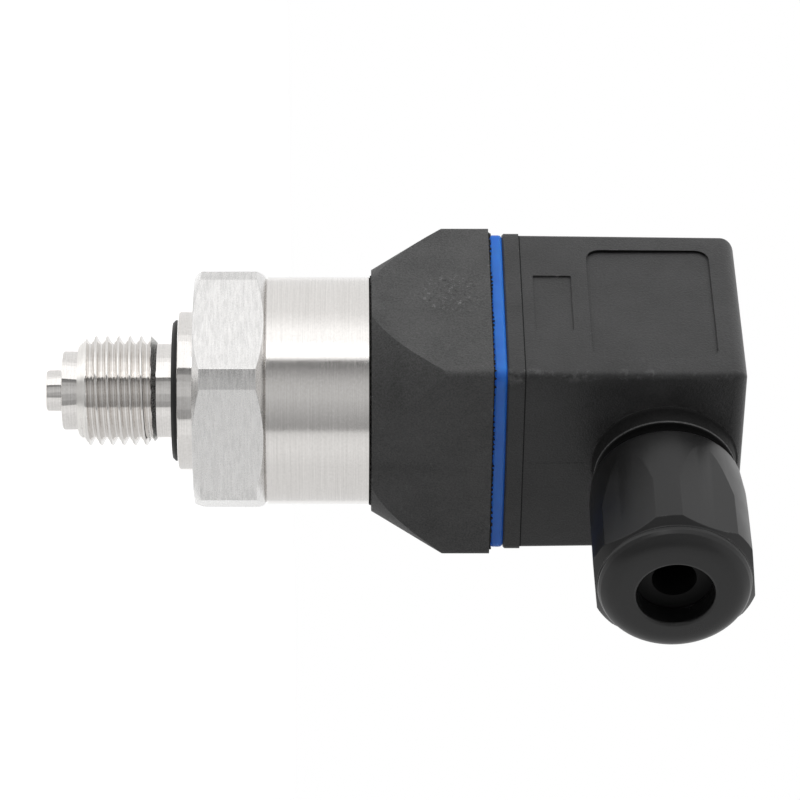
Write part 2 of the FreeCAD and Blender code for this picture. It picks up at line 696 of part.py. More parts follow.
def connector_housing():
    body = new_body("connector_housing")
    drawing = sketch(body, "lip_square", "XY_Plane", lift=gasket_top)
    square(drawing, gasket_width, "base_corner")
    pad(body, "lip", drawing, "lip_height")
    drawing = sketch(body, "square", "XY_Plane", lift=lip_top)
    square(drawing, housing_width, "housing_corner")
    walls = pad(body, "walls", drawing, "housing_height")
    walls.setExpression("TaperAngle", bound("-housing_draft"))
    settle(walls)
    high = walls.Shape.BoundBox.ZMax
    dress(body, "Fillet", "top_edges", "housing_top_round",
          lambda edge: all(abs(v.Z - high) < 1e-4 for v in edge.Vertexes))

    # the gland's boss and neck, turned about the gland's axis
    boss, neck = "gland_boss_diameter / 2", "neck_diameter / 2"
    inside = f"({cavity_width} / 2 + housing_wall / 4)"
    turn(body, "gland_boss", [
        (inside, "0"), (inside, f"{boss} + gland_flare"), (housing_face, f"{boss} + gland_flare"),
        (f"{housing_face} + gland_flare", boss), (gland_boss_end, boss), (gland_boss_end, neck),
        (f"{neck_end} - edge_break", neck), (neck_end, f"{neck} - edge_break"), (neck_end, "0")],
        axis="H_Axis", shift=gland_level, arcs={2: ("gland_flare", 1)})
    # the flare stands no higher than the housing's end
    far = f"(2 * {housing_width})"
    drawing = sketch(body, "end_plane", "XY_Plane", lift=housing_top)
    rectangle(drawing, f"-{far}", far, f"-{far}", far)
    end_trim = feature(body, "Pocket", "end_trim", drawing, Reversed=True)
    end_trim.setExpression("Length", bound(far))
    settle(end_trim)

    # room for the terminal block and the wires, with the screw's post
    drawing = sketch(body, "cavity_square", "XY_Plane", lift=gasket_top)
    square(drawing, cavity_width, "cavity_corner")
    pocket(body, "cavity", drawing, f"{cavity_top} - {gasket_top}", Reversed=True)
    drawing = sketch(body, "post_circle", "XY_Plane", lift=block_top)
    circle(drawing, "0", "0", "screw_counterbore / 2 + post_wall")
    pad(body, "post", drawing, f"{cavity_top} - {block_top} + housing_top_wall / 4")
    turn(body, "screw_hole", [
        ("0", f"{block_top} - 1"), (screw_way_radius, f"{block_top} - 1"),
        (screw_way_radius, counterbore_floor), ("screw_counterbore / 2", counterbore_floor),
        ("screw_counterbore / 2", f"{housing_top} + 1"), ("0", f"{housing_top} + 1")], cut=True)
    cable_way = f"({neck_bore} - grommet_ledge)"
    turn(body, "cable_way", [
        (f"{cavity_width} / 2 - 1", "0"), (f"{cavity_width} / 2 - 1", cable_way),
        (grommet_seat, cable_way), (grommet_seat, neck_bore), (f"{neck_end} + 1", neck_bore),
        (f"{neck_end} + 1", "0")], axis="H_Axis", shift=gland_level, cut=True)

    # shallow recesses in the face at -Y: a label pad and a small frame
    pad_height = "(housing_height - label_pad_rise - label_pad_top_margin)"
    for name, width, height in (
            ("label_pad", f"({housing_width} - 2 * label_pad_side_margin)", pad_height),
            ("code_frame", "code_frame_width", "code_frame_height")):
        level = f"({lip_top} + {name}_rise)"
        face = f"({housing_face} - ({name}_rise + {height} / 2) * tan(housing_draft))"
        drawing = sketch(body, f"{name}_outline", "XZ_Plane", lift=f"{face} + 1")
        rounded_rectangle(drawing, f"-{width} / 2", f"{width} / 2", level, f"{level} + {height}",
                          f"{name}_corner")
        pocket(body, name, drawing, f"{name}_depth + 1")


def contact_pockets(body, high):
    # from the top, a pocket for each contact's clamp, and below it one for its fork
    outer = f"({clamp_centre} + clamp_width / 2 + pocket_fit)"
    inner = f"({clamp_centre} - clamp_width / 2 - pocket_fit)"
    half = f"({fork_width} / 2 + pocket_fit)"
    drawing = sketch(body, "clamp_pockets", "XY_Plane", lift=high)
    for sign in ("", "-"):
        near, far = (inner, outer) if sign == "" else (f"-{outer}", f"-{inner}")
        rectangle(drawing, near, far, f"-{half}", half)
        rectangle(drawing, f"-{half}", half, near, far)
    pocket(body, "clamps", drawing, f"{high} - {fork_top}")
    drawing = sketch(body, "fork_pockets", "XY_Plane", lift=high)
    contact_slots(drawing, f"({fork_width} + 2 * pocket_fit)", "(fork_depth + 2 * pocket_fit)")
    pocket(body, "forks", drawing, f"{high} - {pocket_floor}")
    drawing = sketch(body, "blade_slots", "XY_Plane", lift=high)
    contact_slots(drawing, blade_slot_width, blade_slot_height)
    pocket(body, "blades", drawing, f"{high} - {block_bottom} + 1")


def terminal_block():
    body = new_body("terminal_block")
    drawing = sketch(body, "square", "XY_Plane", lift=block_bottom)
    square(drawing, f"({cavity_width} - 2 * block_clearance)", "cavity_corner")
    circle(drawing, "0", "0", "block_hole / 2")
    pad(body, "block", drawing, f"{block_top} - {block_bottom}")
    contact_pockets(body, block_top)


def fork_contact(label, quarter):
    # a sprung fork for the blade, folded up into the block that clamps the wire
    body = new_body(label, Rotation(Vector(0, 0, 1), 90 * quarter))
    drawing = sketch(body, "section", "XZ_Plane", lift=f"-{fork_width} / 2")
    near, far = f"({contact_radius} - fork_depth / 2)", f"({contact_radius} + fork_depth / 2)"
    mouth = "(blade_thickness / 2 + fork_play)"
    slot_near, slot_far = f"({contact_radius} - {mouth})", f"({contact_radius} + {mouth})"
    inner, outer = f"({clamp_centre} - clamp_width / 2)", f"({clamp_centre} + clamp_width / 2)"
    outline(drawing, [
        (near, pocket_floor), (f"{slot_near} - {mouth}", pocket_floor),
        (slot_near, f"{pocket_floor} + {mouth}"), (slot_near, fork_top), (slot_far, fork_top),
        (slot_far, f"{pocket_floor} + {mouth}"), (f"{slot_far} + {mouth}", pocket_floor),
        (far, pocket_floor), (far, fork_top), (outer, fork_top), (outer, clamp_top),
        (inner, clamp_top), (inner, fork_top), (near, fork_top)])
    pad(body, "fork", drawing, fork_width)
    drawing = sketch(body, "wire_circle", "XZ_Plane", lift=f"{fork_width} / 2")
    circle(drawing, clamp_centre, f"{clamp_top} - clamp_height / 2", "wire_hole / 2")
    pocket(body, "wire_way", drawing, fork_width)
    drawing = sketch(body, "screw_circle", "XY_Plane", lift=clamp_top)
    circle(drawing, clamp_centre, "0", "terminal_screw_diameter / 2 + pocket_fit")
    pocket(body, "screw_way", drawing, "terminal_screw_length")


def slotted_screw(label, station, diameter, length, head, height, slot, slot_depth):
    # a cheese-head screw that stands on its seat at the height named by station
    body = new_body(label)
    shank, head_radius = f"{diameter} / 2", f"{head} / 2"
    turn(body, "screw", [
        ("0", f"{station} - {length}"), (f"{shank} - edge_break", f"{station} - {length}"),
        (shank, f"{station} - {length} + edge_break"), (shank, station), (head_radius, station),
        (head_radius, f"{station} + {height} - edge_break"),
        (f"{head_radius} - edge_break", f"{station} + {height}"), ("0", f"{station} + {height}")])
    drawing = sketch(body, "slot_outline", "XY_Plane", lift=f"{station} + {height}")
    rectangle(drawing, f"-{head}", head, f"-{slot} / 2", f"{slot} / 2")
    pocket(body, "slot", drawing, slot_depth)
    return body


def terminal_screws():
    # four screws, one over each contact, that share a node
    screws = []
    for quarter in range(4):
        body = slotted_screw(f"terminal_screw_{quarter + 1}", f"({clamp_top} + terminal_head_gap)",
                             "terminal_screw_diameter", "terminal_screw_length",
                             "terminal_head_diameter", "terminal_head_height", "terminal_screw_slot",
                             "terminal_head_height / 2")
        nodes.remove(body)
        body.setExpression("Placement.Base.x", bound(f"{clamp_centre} * cos({90 * quarter})"))
        body.setExpression("Placement.Base.y", bound(f"{clamp_centre} * sin({90 * quarter})"))
        screws.append(body)
    doc.recompute()
    group("terminal_screws", screws)


def flat_ring(label, inner, outer, low, high, axis="V_Axis", shift="0"):
    body = new_body(label)
    if axis == "V_Axis":
        turn(body, "ring", [(inner, low), (outer, low), (outer, high), (inner, high)])
    else:
        turn(body, "ring", [(low, inner), (low, outer), (high, outer), (high, inner)],
             axis=axis, shift=shift)
    return body


def gland_grommet():
    body = new_body("gland_grommet")
    bore, nose = "grommet_bore / 2", "grommet_nose_diameter / 2"
    nose_tip = f"{grommet_end} + grommet_nose_length"
    turn(body, "grommet", [
        (grommet_seat, bore), (grommet_seat, grommet_radius), (grommet_end, grommet_radius),
        (grommet_end, nose), (nose_tip, nose), (nose_tip, bore)], axis="H_Axis", shift=gland_level)


def gland_nut():
    body = new_body("gland_nut")
    drawing = sketch(body, "hexagon", "YZ_Plane", lift=nut_rear, shift=gland_level)
    across_corners = "nut_width / 2 / cos(30)"
    outline(drawing, [(f"{across_corners} * cos({60 * k} + nut_turn)",
                       f"{across_corners} * sin({60 * k} + nut_turn)") for k in range(6)])
    pad(body, "hex", drawing, f"{nut_hex_end} - {nut_rear}")
    # the corners are turned: a long cone to the round rear end, a short chamfer in front
    rear, corner = "(nut_width / 2 - nut_rear_drop)", "(nut_width / 2 + nut_corner_rise)"
    dome = "(nut_width / 2 - nut_dome_drop)"
    turn(body, "corners", [
        (f"{nut_rear} - 1", rear), (nut_rear, rear), (f"{nut_rear} + nut_rear_cone", corner),
        (f"{nut_hex_end} - nut_end_chamfer", corner), (nut_hex_end, dome),
        (f"{nut_hex_end} + 1", dome), (f"{nut_hex_end} + 1", "nut_width"),
        (f"{nut_rear} - 1", "nut_width")], axis="H_Axis", shift=gland_level, cut=True)
    drawing = sketch(body, "dome_circle", "YZ_Plane", lift=f"{nut_hex_end} - 1", shift=gland_level)
    circle(drawing, "0", "0", dome)
    front = pad(body, "dome", drawing, "nut_dome_height + 1").Shape.BoundBox.XMax
    dress(body, "Fillet", "dome_edge", "nut_dome_round",
          lambda edge: all(abs(v.X - front) < 1e-4 for v in edge.Vertexes))
    turn(body, "bore", [
        (f"{nut_rear} - 1", "0"), (f"{nut_rear} - 1", f"{nut_bore} + edge_break"),
        (nut_rear, f"{nut_bore} + edge_break"), (f"{nut_rear} + edge_break", nut_bore),
        (nut_shoulder, nut_bore), (nut_shoulder, "nut_hole / 2"), (f"{nut_front} + 1", "nut_hole / 2"),
        (f"{nut_front} + 1", "0")], axis="H_Axis", shift=gland_level, cut=True)


process_connection()
sealing_ring()
cell_o_ring()
pressure_cell()
clamp_ring()
case_sleeve()
cell_leads()
main_board()
amplifier_chip()
capacitors()
terminal_board()
plug_base()
base_o_ring()
screw_insert()
for number in range(3):
    contact_blade(f"contact_blade_{number + 1}", number - 1)
contact_blade("earth_blade", 2)
profile_gasket()
connector_housing()
terminal_block()
for number in range(3):
    fork_contact(f"fork_contact_{number + 1}", number - 1)
fork_contact("earth_fork", 2)
terminal_screws()
flat_ring("screw_seal", "screw_diameter / 2 + washer_clearance", "screw_counterbore / 2",
          counterbore_floor, washer_bottom)
gland_grommet()
flat_ring("screw_washer", "screw_diameter / 2 + washer_clearance",
          "screw_counterbore / 2 - washer_side_clearance", washer_bottom, screw_seat)
slotted_screw("centre_screw", screw_seat, "screw_diameter", screw_length, "screw_head_diameter",
              "screw_head_height", "screw_slot_width", "screw_slot_depth")
flat_ring("thrust_ring", "grommet_nose_diameter / 2 + grommet_fit",
          f"({nut_bore} - thrust_ring_clearance)", grommet_end, nut_shoulder, axis="H_Axis",
          shift=gland_level)
gland_nut()

doc.recompute()
for item in doc.Objects:
    if {"Invalid", "Error"} & set(item.State):
        raise RuntimeError(f"{item.Label} failed: {item.State}")
for node in nodes:
    if node.Shape.isNull() or not node.Shape.isValid() or not node.Shape.Solids:
        raise RuntimeError(f"{node.Label} has no valid solid")

os.makedirs("parts", exist_ok=True)
for node in nodes:
    node.Shape.exportStep(f"parts/{node.Label}.step")
print(f"{len(nodes)} nodes written")
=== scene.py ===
import math
import bmesh
import bpy
from mathutils import Matrix, Vector


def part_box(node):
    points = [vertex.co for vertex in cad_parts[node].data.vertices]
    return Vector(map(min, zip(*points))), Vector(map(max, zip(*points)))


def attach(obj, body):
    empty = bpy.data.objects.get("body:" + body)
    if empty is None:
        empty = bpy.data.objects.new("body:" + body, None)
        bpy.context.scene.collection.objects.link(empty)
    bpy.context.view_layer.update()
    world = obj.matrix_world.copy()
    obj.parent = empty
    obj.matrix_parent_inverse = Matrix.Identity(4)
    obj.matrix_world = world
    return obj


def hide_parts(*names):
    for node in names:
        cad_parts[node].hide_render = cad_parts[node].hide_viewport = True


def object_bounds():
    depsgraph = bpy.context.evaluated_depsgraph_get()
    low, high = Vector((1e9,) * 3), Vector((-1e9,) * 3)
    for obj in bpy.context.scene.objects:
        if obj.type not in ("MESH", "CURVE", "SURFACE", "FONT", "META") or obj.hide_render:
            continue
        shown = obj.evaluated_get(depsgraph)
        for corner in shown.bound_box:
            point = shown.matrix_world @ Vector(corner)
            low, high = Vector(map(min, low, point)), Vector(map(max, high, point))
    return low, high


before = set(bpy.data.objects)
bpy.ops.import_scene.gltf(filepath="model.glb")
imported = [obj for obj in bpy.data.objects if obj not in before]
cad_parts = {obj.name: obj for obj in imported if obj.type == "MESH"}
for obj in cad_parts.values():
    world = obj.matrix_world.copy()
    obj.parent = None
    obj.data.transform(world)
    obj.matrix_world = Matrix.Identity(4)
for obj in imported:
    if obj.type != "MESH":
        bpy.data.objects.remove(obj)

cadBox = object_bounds()
mm = 0.001
scene = bpy.context.scene
scene.view_settings.view_transform = "Standard"


def station(node, side, axis):
    # one side of a piece's box in millimetres: side 0 is the low one, axis 0, 1, 2 is X, Y, Z
    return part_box(node)[side][axis] / mm


# levels and reaches that the pieces share, in millimetres
hexBottom = 1.92
hexTop = station("case_sleeve", 0, 2)
baseBottom = station("case_sleeve", 1, 2)
baseTop = station("plug_base", 1, 2)
gasketTop = station("profile_gasket", 1, 2)
housingTop = station("connector_housing", 1, 2)
neckEnd = station("connector_housing", 1, 0)
nutRear = station("gland_nut", 0, 0)
nutFront = station("gland_nut", 1, 0)
glandLevel = (station("gland_grommet", 0, 2) + station("gland_grommet", 1, 2)) / 2
baseHalf = station("plug_base", 1, 1)
gasketHalf = station("profile_gasket", 1, 1)

# metres, with the lens in millimetres
cameraPlace = {
    "side": 39.5,           # degrees round from the gland towards the label face
    "distance": 0.4934,
    "eyeHeight": 0.0203,
    "aimHeight": 0.02626,
    "aimAside": -0.00113,
    "lens": 186.4,
}


def aimedFrame(spot, aim, onItsSide=False):
    # looks from a spot at another; on its side, the frame's right is the part's up
    back = (spot - aim).normalized()
    rise = Vector((0, 0, 1))
    right = (rise - back * back.z if onItsSide else rise.cross(back)).normalized()
    up = back.cross(right)
    return Matrix((
        (right.x, up.x, back.x, spot.x),
        (right.y, up.y, back.y, spot.y),
        (right.z, up.z, back.z, spot.z),
        (0, 0, 0, 1)))


def setCamera(place):
    angle = math.radians(place["side"])
    outward = Vector((math.cos(angle), -math.sin(angle), 0))
    aside = Vector((-math.sin(angle), -math.cos(angle), 0))
    eye = outward * place["distance"] + Vector((0, 0, place["eyeHeight"]))
    aim = aside * place["aimAside"] + Vector((0, 0, place["aimHeight"]))
    camera = bpy.data.objects.new("camera", bpy.data.cameras.new("camera"))
    scene.collection.objects.link(camera)
    camera.matrix_world = aimedFrame(eye, aim, onItsSide=True)
    camera.data.sensor_width = 36
    camera.data.lens = place["lens"]
    scene.camera = camera
    return outward, aside


toCamera, towardsLabel = setCamera(cameraPlace)
print("camera set")


# every finish is a principled shader fed by noise that is laid in the part's own coordinates
def startFinish(name, roughness, metallic=0.0, specular=0.5):
    material = bpy.data.materials.new(name)
    material.use_nodes = True
    tree = material.node_tree
    shader = tree.nodes["Principled BSDF"]
    shader.inputs["Roughness"].default_value = roughness
    shader.inputs["Metallic"].default_value = metallic
    shader.inputs["Specular IOR Level"].default_value = specular
    place = tree.nodes.new("ShaderNodeTexCoord").outputs["Object"]
    return material, tree, shader, place


def stretched(tree, place, perMetre):
    # object coordinates scaled differently along X, Y and Z
    mapping = tree.nodes.new("ShaderNodeMapping")
    mapping.inputs["Scale"].default_value = perMetre
    tree.links.new(place, mapping.inputs["Vector"])
    return mapping.outputs["Vector"]


def noise(tree, place, scale, detail=3.0, roughness=0.5):
    node = tree.nodes.new("ShaderNodeTexNoise")
    node.inputs["Scale"].default_value = scale
    node.inputs["Detail"].default_value = detail
    node.inputs["Roughness"].default_value = roughness
    tree.links.new(place, node.inputs["Vector"])
    return node.outputs["Fac"]


def ramp(tree, source, stops):
    # stops are (position, colour or grey) pairs
    node = tree.nodes.new("ShaderNodeValToRGB")
    band = node.color_ramp
    while len(band.elements) < len(stops):
        band.elements.new(0.5)
    for element, (position, shade) in zip(band.elements, stops):
        element.position = position
        element.color = (*shade, 1) if isinstance(shade, tuple) else (shade, shade, shade, 1)
    tree.links.new(source, node.inputs["Fac"])
    return node.outputs["Color"]


def sums(tree, operation, first, second):
    node = tree.nodes.new("ShaderNodeMath")
    node.operation = operation
    for socket, value in zip(node.inputs, (first, second)):
        if isinstance(value, (int, float)):
            socket.default_value = value
        else:
            tree.links.new(value, socket)
    return node.outputs[0]


def swell(tree, source, low, high):
    # from one colour or grey to another over the middle of a noise
    return ramp(tree, source, [(0.3, low), (0.7, high)])


def shareWithin(tree, value, start, end):
    # 0 at the start and 1 at the end
    node = tree.nodes.new("ShaderNodeMapRange")
    node.inputs["From Min"].default_value = start
    node.inputs["From Max"].default_value = end
    tree.links.new(value, node.inputs["Value"])
    return node.outputs["Result"]


def relief(tree, shader, height, strength, distance):
    node = tree.nodes.new("ShaderNodeBump")
    node.inputs["Strength"].default_value = strength
    node.inputs["Distance"].default_value = distance
    tree.links.new(height, node.inputs["Height"])
    tree.links.new(node.outputs["Normal"], shader.inputs["Normal"])


def blend(tree, factor, low, high):
    # mixes two colours, each a fixed one or a socket, by a factor socket
    node = tree.nodes.new("ShaderNodeMix")
    node.data_type = "RGBA"
    tree.links.new(factor, node.inputs["Factor"])
    for socket, shade in ((node.inputs[6], low), (node.inputs[7], high)):
        if isinstance(shade, tuple):
            socket.default_value = (*shade, 1)
        else:
            tree.links.new(shade, socket)
    return node.outputs[2]


def seenDirectly(tree):
    # 1 for the camera's and mirrored rays, 0 for light that is scattered
    paths = tree.nodes.new("ShaderNodeLightPath")
    return sums(tree, "MAXIMUM", paths.outputs["Is Camera Ray"],
                sums(tree, "MAXIMUM", paths.outputs["Is Glossy Ray"], paths.outputs["Is Transmission Ray"]))


steelFinish = {
    "dark": (0.67, 0.65, 0.63),
    "light": (0.80, 0.78, 0.76),
    "roughness": (0.15, 0.25),
    "lines": 12000,         # grinding lines per metre along the axis
    "stretch": 110,         # how little they change on their way round
    "mottle": 3200,         # the fine pitting between the lines
    "mottleShare": 0.35,
    "spread": 0.18,         # how far from the middle of the pattern the darkest and lightest lie
    "depth": 0.000007,
    "bump": 0.5,
    "anisotropy": 0.8,
    "lineTurn": 0.25,       # a quarter turn from the way the tangent runs
}


def steel(name, look, axis="Z"):
    low, high = look["roughness"]
    material, tree, shader, place = startFinish(name, low, metallic=1.0)
    across = [look["stretch"]] * 3
    across["XYZ".index(axis)] = look["lines"]
    streaks = noise(tree, stretched(tree, place, across), 1.0, 3.0, 0.6)
    pits = noise(tree, place, look["mottle"], 2.0, 0.6)
    share = look["mottleShare"]
    mixed = sums(tree, "ADD", sums(tree, "MULTIPLY", streaks, 1 - share), sums(tree, "MULTIPLY", pits, share))
    spread = look["spread"]
    tree.links.new(ramp(tree, mixed, [(0.5 - spread, look["dark"]), (0.5 + spread, look["light"])]),
                   shader.inputs["Base Color"])
    tree.links.new(swell(tree, mixed, low, high), shader.inputs["Roughness"])
    shader.inputs["Anisotropic"].default_value = look["anisotropy"]
    shader.inputs["Anisotropic Rotation"].default_value = look["lineTurn"]
    tangent = tree.nodes.new("ShaderNodeTangent")
    tangent.direction_type = "RADIAL"
    tangent.axis = axis
    tree.links.new(tangent.outputs["Tangent"], shader.inputs["Tangent"])
    relief(tree, shader, mixed, look["bump"], look["depth"])
    return material


mouldPatterns = {
    # per metre: broad clouds, fine speckle, pale flecks, scuffed edges, rubbed corners and the scar
    "clouds": 150, "speckle": 4800, "flecks": 2600, "scuffs": 700, "rubs": 420, "scar": 1700,
    "cloudShare": 0.45,
    "glossSwing": 0.06,
    "bump": 0.35,
    "edge": [(0.90, 1.0), (0.985, 0.0)],        # how far the face has to lean to count as an edge
    "fleckSoft": 0.05, "scuffSoft": 0.07, "rubSoft": 0.12, "rubShare": 0.7,
    "scarHeight": 2.5,      # the scar's relief against the plain grain's
    "scarFlecks": [(0.585, 0.0), (0.66, 0.8)],
    "scarPits": [(0.36, 0.7), (0.41, 0.0)],
    "pitColour": (0.02, 0.02, 0.02),
}


def rubbedEdges(tree, place, reach, share):
    # a mask of the places where sharp edges are scuffed: near an edge, and only in patches
    m = mouldPatterns
    rounded = tree.nodes.new("ShaderNodeBevel")
    rounded.samples = 4
    rounded.inputs["Radius"].default_value = reach
    plain = tree.nodes.new("ShaderNodeNewGeometry")
    turn = tree.nodes.new("ShaderNodeVectorMath")
    turn.operation = "DOT_PRODUCT"
    tree.links.new(rounded.outputs["Normal"], turn.inputs[0])
    tree.links.new(plain.outputs["Normal"], turn.inputs[1])
    edge = ramp(tree, turn.outputs["Value"], m["edge"])
    patches = ramp(tree, noise(tree, place, m["scuffs"], 4.0, 0.75),
                   [(share, 0.0), (share + m["scuffSoft"], 1.0)])
    return sums(tree, "MULTIPLY", edge, patches)


def mouldedPlastic(name, look):
    # glass-filled nylon: cloudy colour, fine grain, pale flecks and scuffed edges
    m = mouldPatterns
    material, tree, shader, place = startFinish(name, look["roughness"], specular=look["specular"])
    clouds = noise(tree, place, m["clouds"], 4.0, 0.6)
    speckle = noise(tree, place, m["speckle"], 2.0, 0.7)
    mixed = sums(tree, "ADD", sums(tree, "MULTIPLY", clouds, m["cloudShare"]),
                 sums(tree, "MULTIPLY", speckle, 1 - m["cloudShare"]))
    colour, swing = look["colour"], look.get("swing", 0.2)
    shade = swell(tree, mixed, tuple(part * (1 - swing) for part in colour),
                  tuple(part * (1 + swing) for part in colour))
    if "flecks" in look:
        level = look["flecks"]
        dots = ramp(tree, noise(tree, place, m["flecks"], 2.0, 0.65),
                    [(level, 0.0), (level + m["fleckSoft"], 1.0)])
        shade = blend(tree, dots, shade, look["fleckColour"])
    if "scuffs" in look:
        shade = blend(tree, rubbedEdges(tree, place, look["scuffReach"], look["scuffs"]), shade,
                      look["fleckColour"])
    height = sums(tree, "ADD", noise(tree, place, look["grain"], 3.0, 0.6), speckle)
    if "corner" in look:
        corner = look["corner"]
        apart = tree.nodes.new("ShaderNodeSeparateXYZ")
        tree.links.new(place, apart.inputs["Vector"])
        along = sums(tree, "SUBTRACT", apart.outputs["X"], apart.outputs["Y"])
        near = shareWithin(tree, along, corner["from"], corner["to"])
        rubs = ramp(tree, noise(tree, place, m["rubs"], 5.0, 0.75),
                    [(corner["share"], 0.0), (corner["share"] + m["rubSoft"], m["rubShare"])])
        shade = blend(tree, sums(tree, "MULTIPLY", near, rubs), shade, look["fleckColour"])
    if "scar" in look:
        scar = look["scar"]
        away = tree.nodes.new("ShaderNodeVectorMath")
        away.operation = "DISTANCE"
        away.inputs[1].default_value = scar["centre"]
        tree.links.new(place, away.inputs[0])
        inside = shareWithin(tree, away.outputs["Value"], scar["reach"], scar["whole"])
        rough = noise(tree, place, m["scar"], 3.0, 0.8)
        raised = sums(tree, "MULTIPLY", inside, sums(tree, "MULTIPLY", rough, m["scarHeight"]))
        height = sums(tree, "ADD", height, raised)
        dots = sums(tree, "MULTIPLY", inside, ramp(tree, rough, m["scarFlecks"]))
        shade = blend(tree, dots, shade, look["fleckColour"])
        pits = sums(tree, "MULTIPLY", inside, ramp(tree, rough, m["scarPits"]))
        shade = blend(tree, pits, shade, m["pitColour"])
    tree.links.new(shade, shader.inputs["Base Color"])
    gloss, swing = look["roughness"], m["glossSwing"]
    tree.links.new(swell(tree, clouds, gloss - swing, gloss + swing), shader.inputs["Roughness"])
    relief(tree, shader, height, m["bump"], look["depth"])
    return material


plainPatterns = {
    "clouds": 220, "darker": 0.85, "paler": 1.12, "glossSwing": 0.07, "bump": 0.3,
    # how far light comes through a milky stuff, in metres, and how much of its red, green and blue
    "through": 0.006, "throughColours": (0.3, 0.6, 1.0),
}


def plainStuff(name, look):
    # rubber, ceramic and laminate: one colour with faint clouds
    m = plainPatterns
    colour, roughness = look["colour"], look["roughness"]
    material, tree, shader, place = startFinish(name, roughness, specular=look["specular"])
    clouds = noise(tree, place, m["clouds"])
    shade = swell(tree, clouds, tuple(part * m["darker"] for part in colour),
                  tuple(min(1, part * m["paler"]) for part in colour))
    tree.links.new(shade, shader.inputs["Base Color"])
    gloss = swell(tree, clouds, roughness - m["glossSwing"], roughness + m["glossSwing"])
    tree.links.new(gloss, shader.inputs["Roughness"])
    shader.inputs["Subsurface Weight"].default_value = look.get("milky", 0.0)
    shader.inputs["Subsurface Scale"].default_value = m["through"]
    shader.inputs["Subsurface Radius"].default_value = m["throughColours"]
    # a glow is painted light: an emission that brightens the stuff on its shaded sides, though it is no lamp
    if "glow" in look:
        shader.inputs["Emission Color"].default_value = (*look["glow"], 1)
        shader.inputs["Emission Strength"].default_value = 1.0
    relief(tree, shader, noise(tree, place, look["grain"], 4.0, 0.6), m["bump"], look["depth"])
    return material


metalPatterns = {"smoother": 0.08, "rougher": 0.1, "bump": 0.2, "depth": 0.000002}


def plainMetal(name, look):
    m, roughness = metalPatterns, look["roughness"]
    material, tree, shader, place = startFinish(name, roughness, metallic=1.0)
    clouds = noise(tree, place, look["grain"], 3.0, 0.6)
    tree.links.new(swell(tree, clouds, look["dark"], look["light"]), shader.inputs["Base Color"])
    gloss = swell(tree, clouds, roughness - m["smoother"], roughness + m["rougher"])
    tree.links.new(gloss, shader.inputs["Roughness"])
    relief(tree, shader, clouds, m["bump"], m["depth"])
    return material


steelLooks = {
    "tubeSteel": steelFinish,
    "hexSteel": dict(
        steelFinish, dark=(0.59, 0.585, 0.58), light=(0.79, 0.78, 0.77), roughness=(0.20, 0.34),
        lines=3800, stretch=520, mottle=4200, mottleShare=0.28, depth=0.000010, anisotropy=0.1),
    "portSteel": dict(
        steelFinish, dark=(0.68, 0.66, 0.64), light=(0.84, 0.82, 0.80), roughness=(0.05, 0.12),
        depth=0.000001, anisotropy=0.0),
    # the rough end of the thread, and the turned cone that leads it in
    "cutSteel": dict(
        steelFinish, dark=(0.30, 0.30, 0.29), light=(1.0, 0.99, 0.97), roughness=(0.3, 0.5),
        lines=7000, stretch=5000, mottle=6500, mottleShare=0.6, spread=0.06, depth=0.00004,
        anisotropy=0.0),
    "turnedSteel": dict(
        steelFinish, dark=(0.78, 0.76, 0.73), light=(0.95, 0.93, 0.90), roughness=(0.30, 0.42),
        anisotropy=0.0),
}
housingLook = {
    "colour": (0.050, 0.050, 0.0505), "roughness": 0.36, "specular": 0.23, "grain": 2400,
    "depth": 0.00012, "swing": 0.35,
    "flecks": 0.82, "fleckColour": (0.15, 0.15, 0.15), "scuffs": 0.62, "scuffReach": 0.00030,
    # the upright edge between the label face and the gland's face is rubbed pale in places
    "corner": {"from": 0.0252, "to": 0.0262, "share": 0.53},
}
baseLook = {
    "colour": (0.080, 0.080, 0.080), "roughness": 0.62, "specular": 0.28, "grain": 2200,
    "depth": 0.00030, "swing": 0.55,
    "flecks": 0.76, "fleckColour": (0.22, 0.22, 0.22), "scuffs": 0.58, "scuffReach": 0.00030,
    # a rough patch that the mould has left on the label side
    "scar": {"centre": (-0.0008, -0.014, 0.0320), "reach": 0.0044, "whole": 0.00264},
}
plasticLooks = {
    "housingPlastic": housingLook,
    "basePlastic": baseLook,
    "nutPlastic": {
        "colour": (0.0095, 0.0095, 0.0097), "roughness": 0.33, "specular": 0.40, "grain": 900,
        "depth": 0.00001,
        "flecks": 0.80, "fleckColour": (0.16, 0.16, 0.16), "scuffs": 0.57, "scuffReach": 0.00025},
    # painted shade: the housing's plastic made darker on the gland's boss, standing in for the housing's
    # shadow on it
    "bossPlastic": dict(
        housingLook, colour=(0.020, 0.020, 0.020), roughness=0.6, specular=0.08, scuffs=0.44,
        scuffReach=0.0003),
    # painted highlight: a paler plastic on the boss's rim, standing in for the light its edge catches, with
    # scuffed flecks
    "rimPlastic": dict(baseLook, colour=(0.10, 0.10, 0.10), scuffs=0.5),
    # painted shade: near-black plastic laid where shade falls, on the neck behind the nut, the mould flash,
    # the lip's foot and the pad's far wall
    "neckPlastic": {
        "colour": (0.006, 0.006, 0.006), "roughness": 0.5, "specular": 0.15, "grain": 1500,
        "depth": 0.00001},
    "blockPlastic": {
        "colour": (0.10, 0.10, 0.10), "roughness": 0.5, "specular": 0.4, "grain": 1200,
        "depth": 0.00002},
}
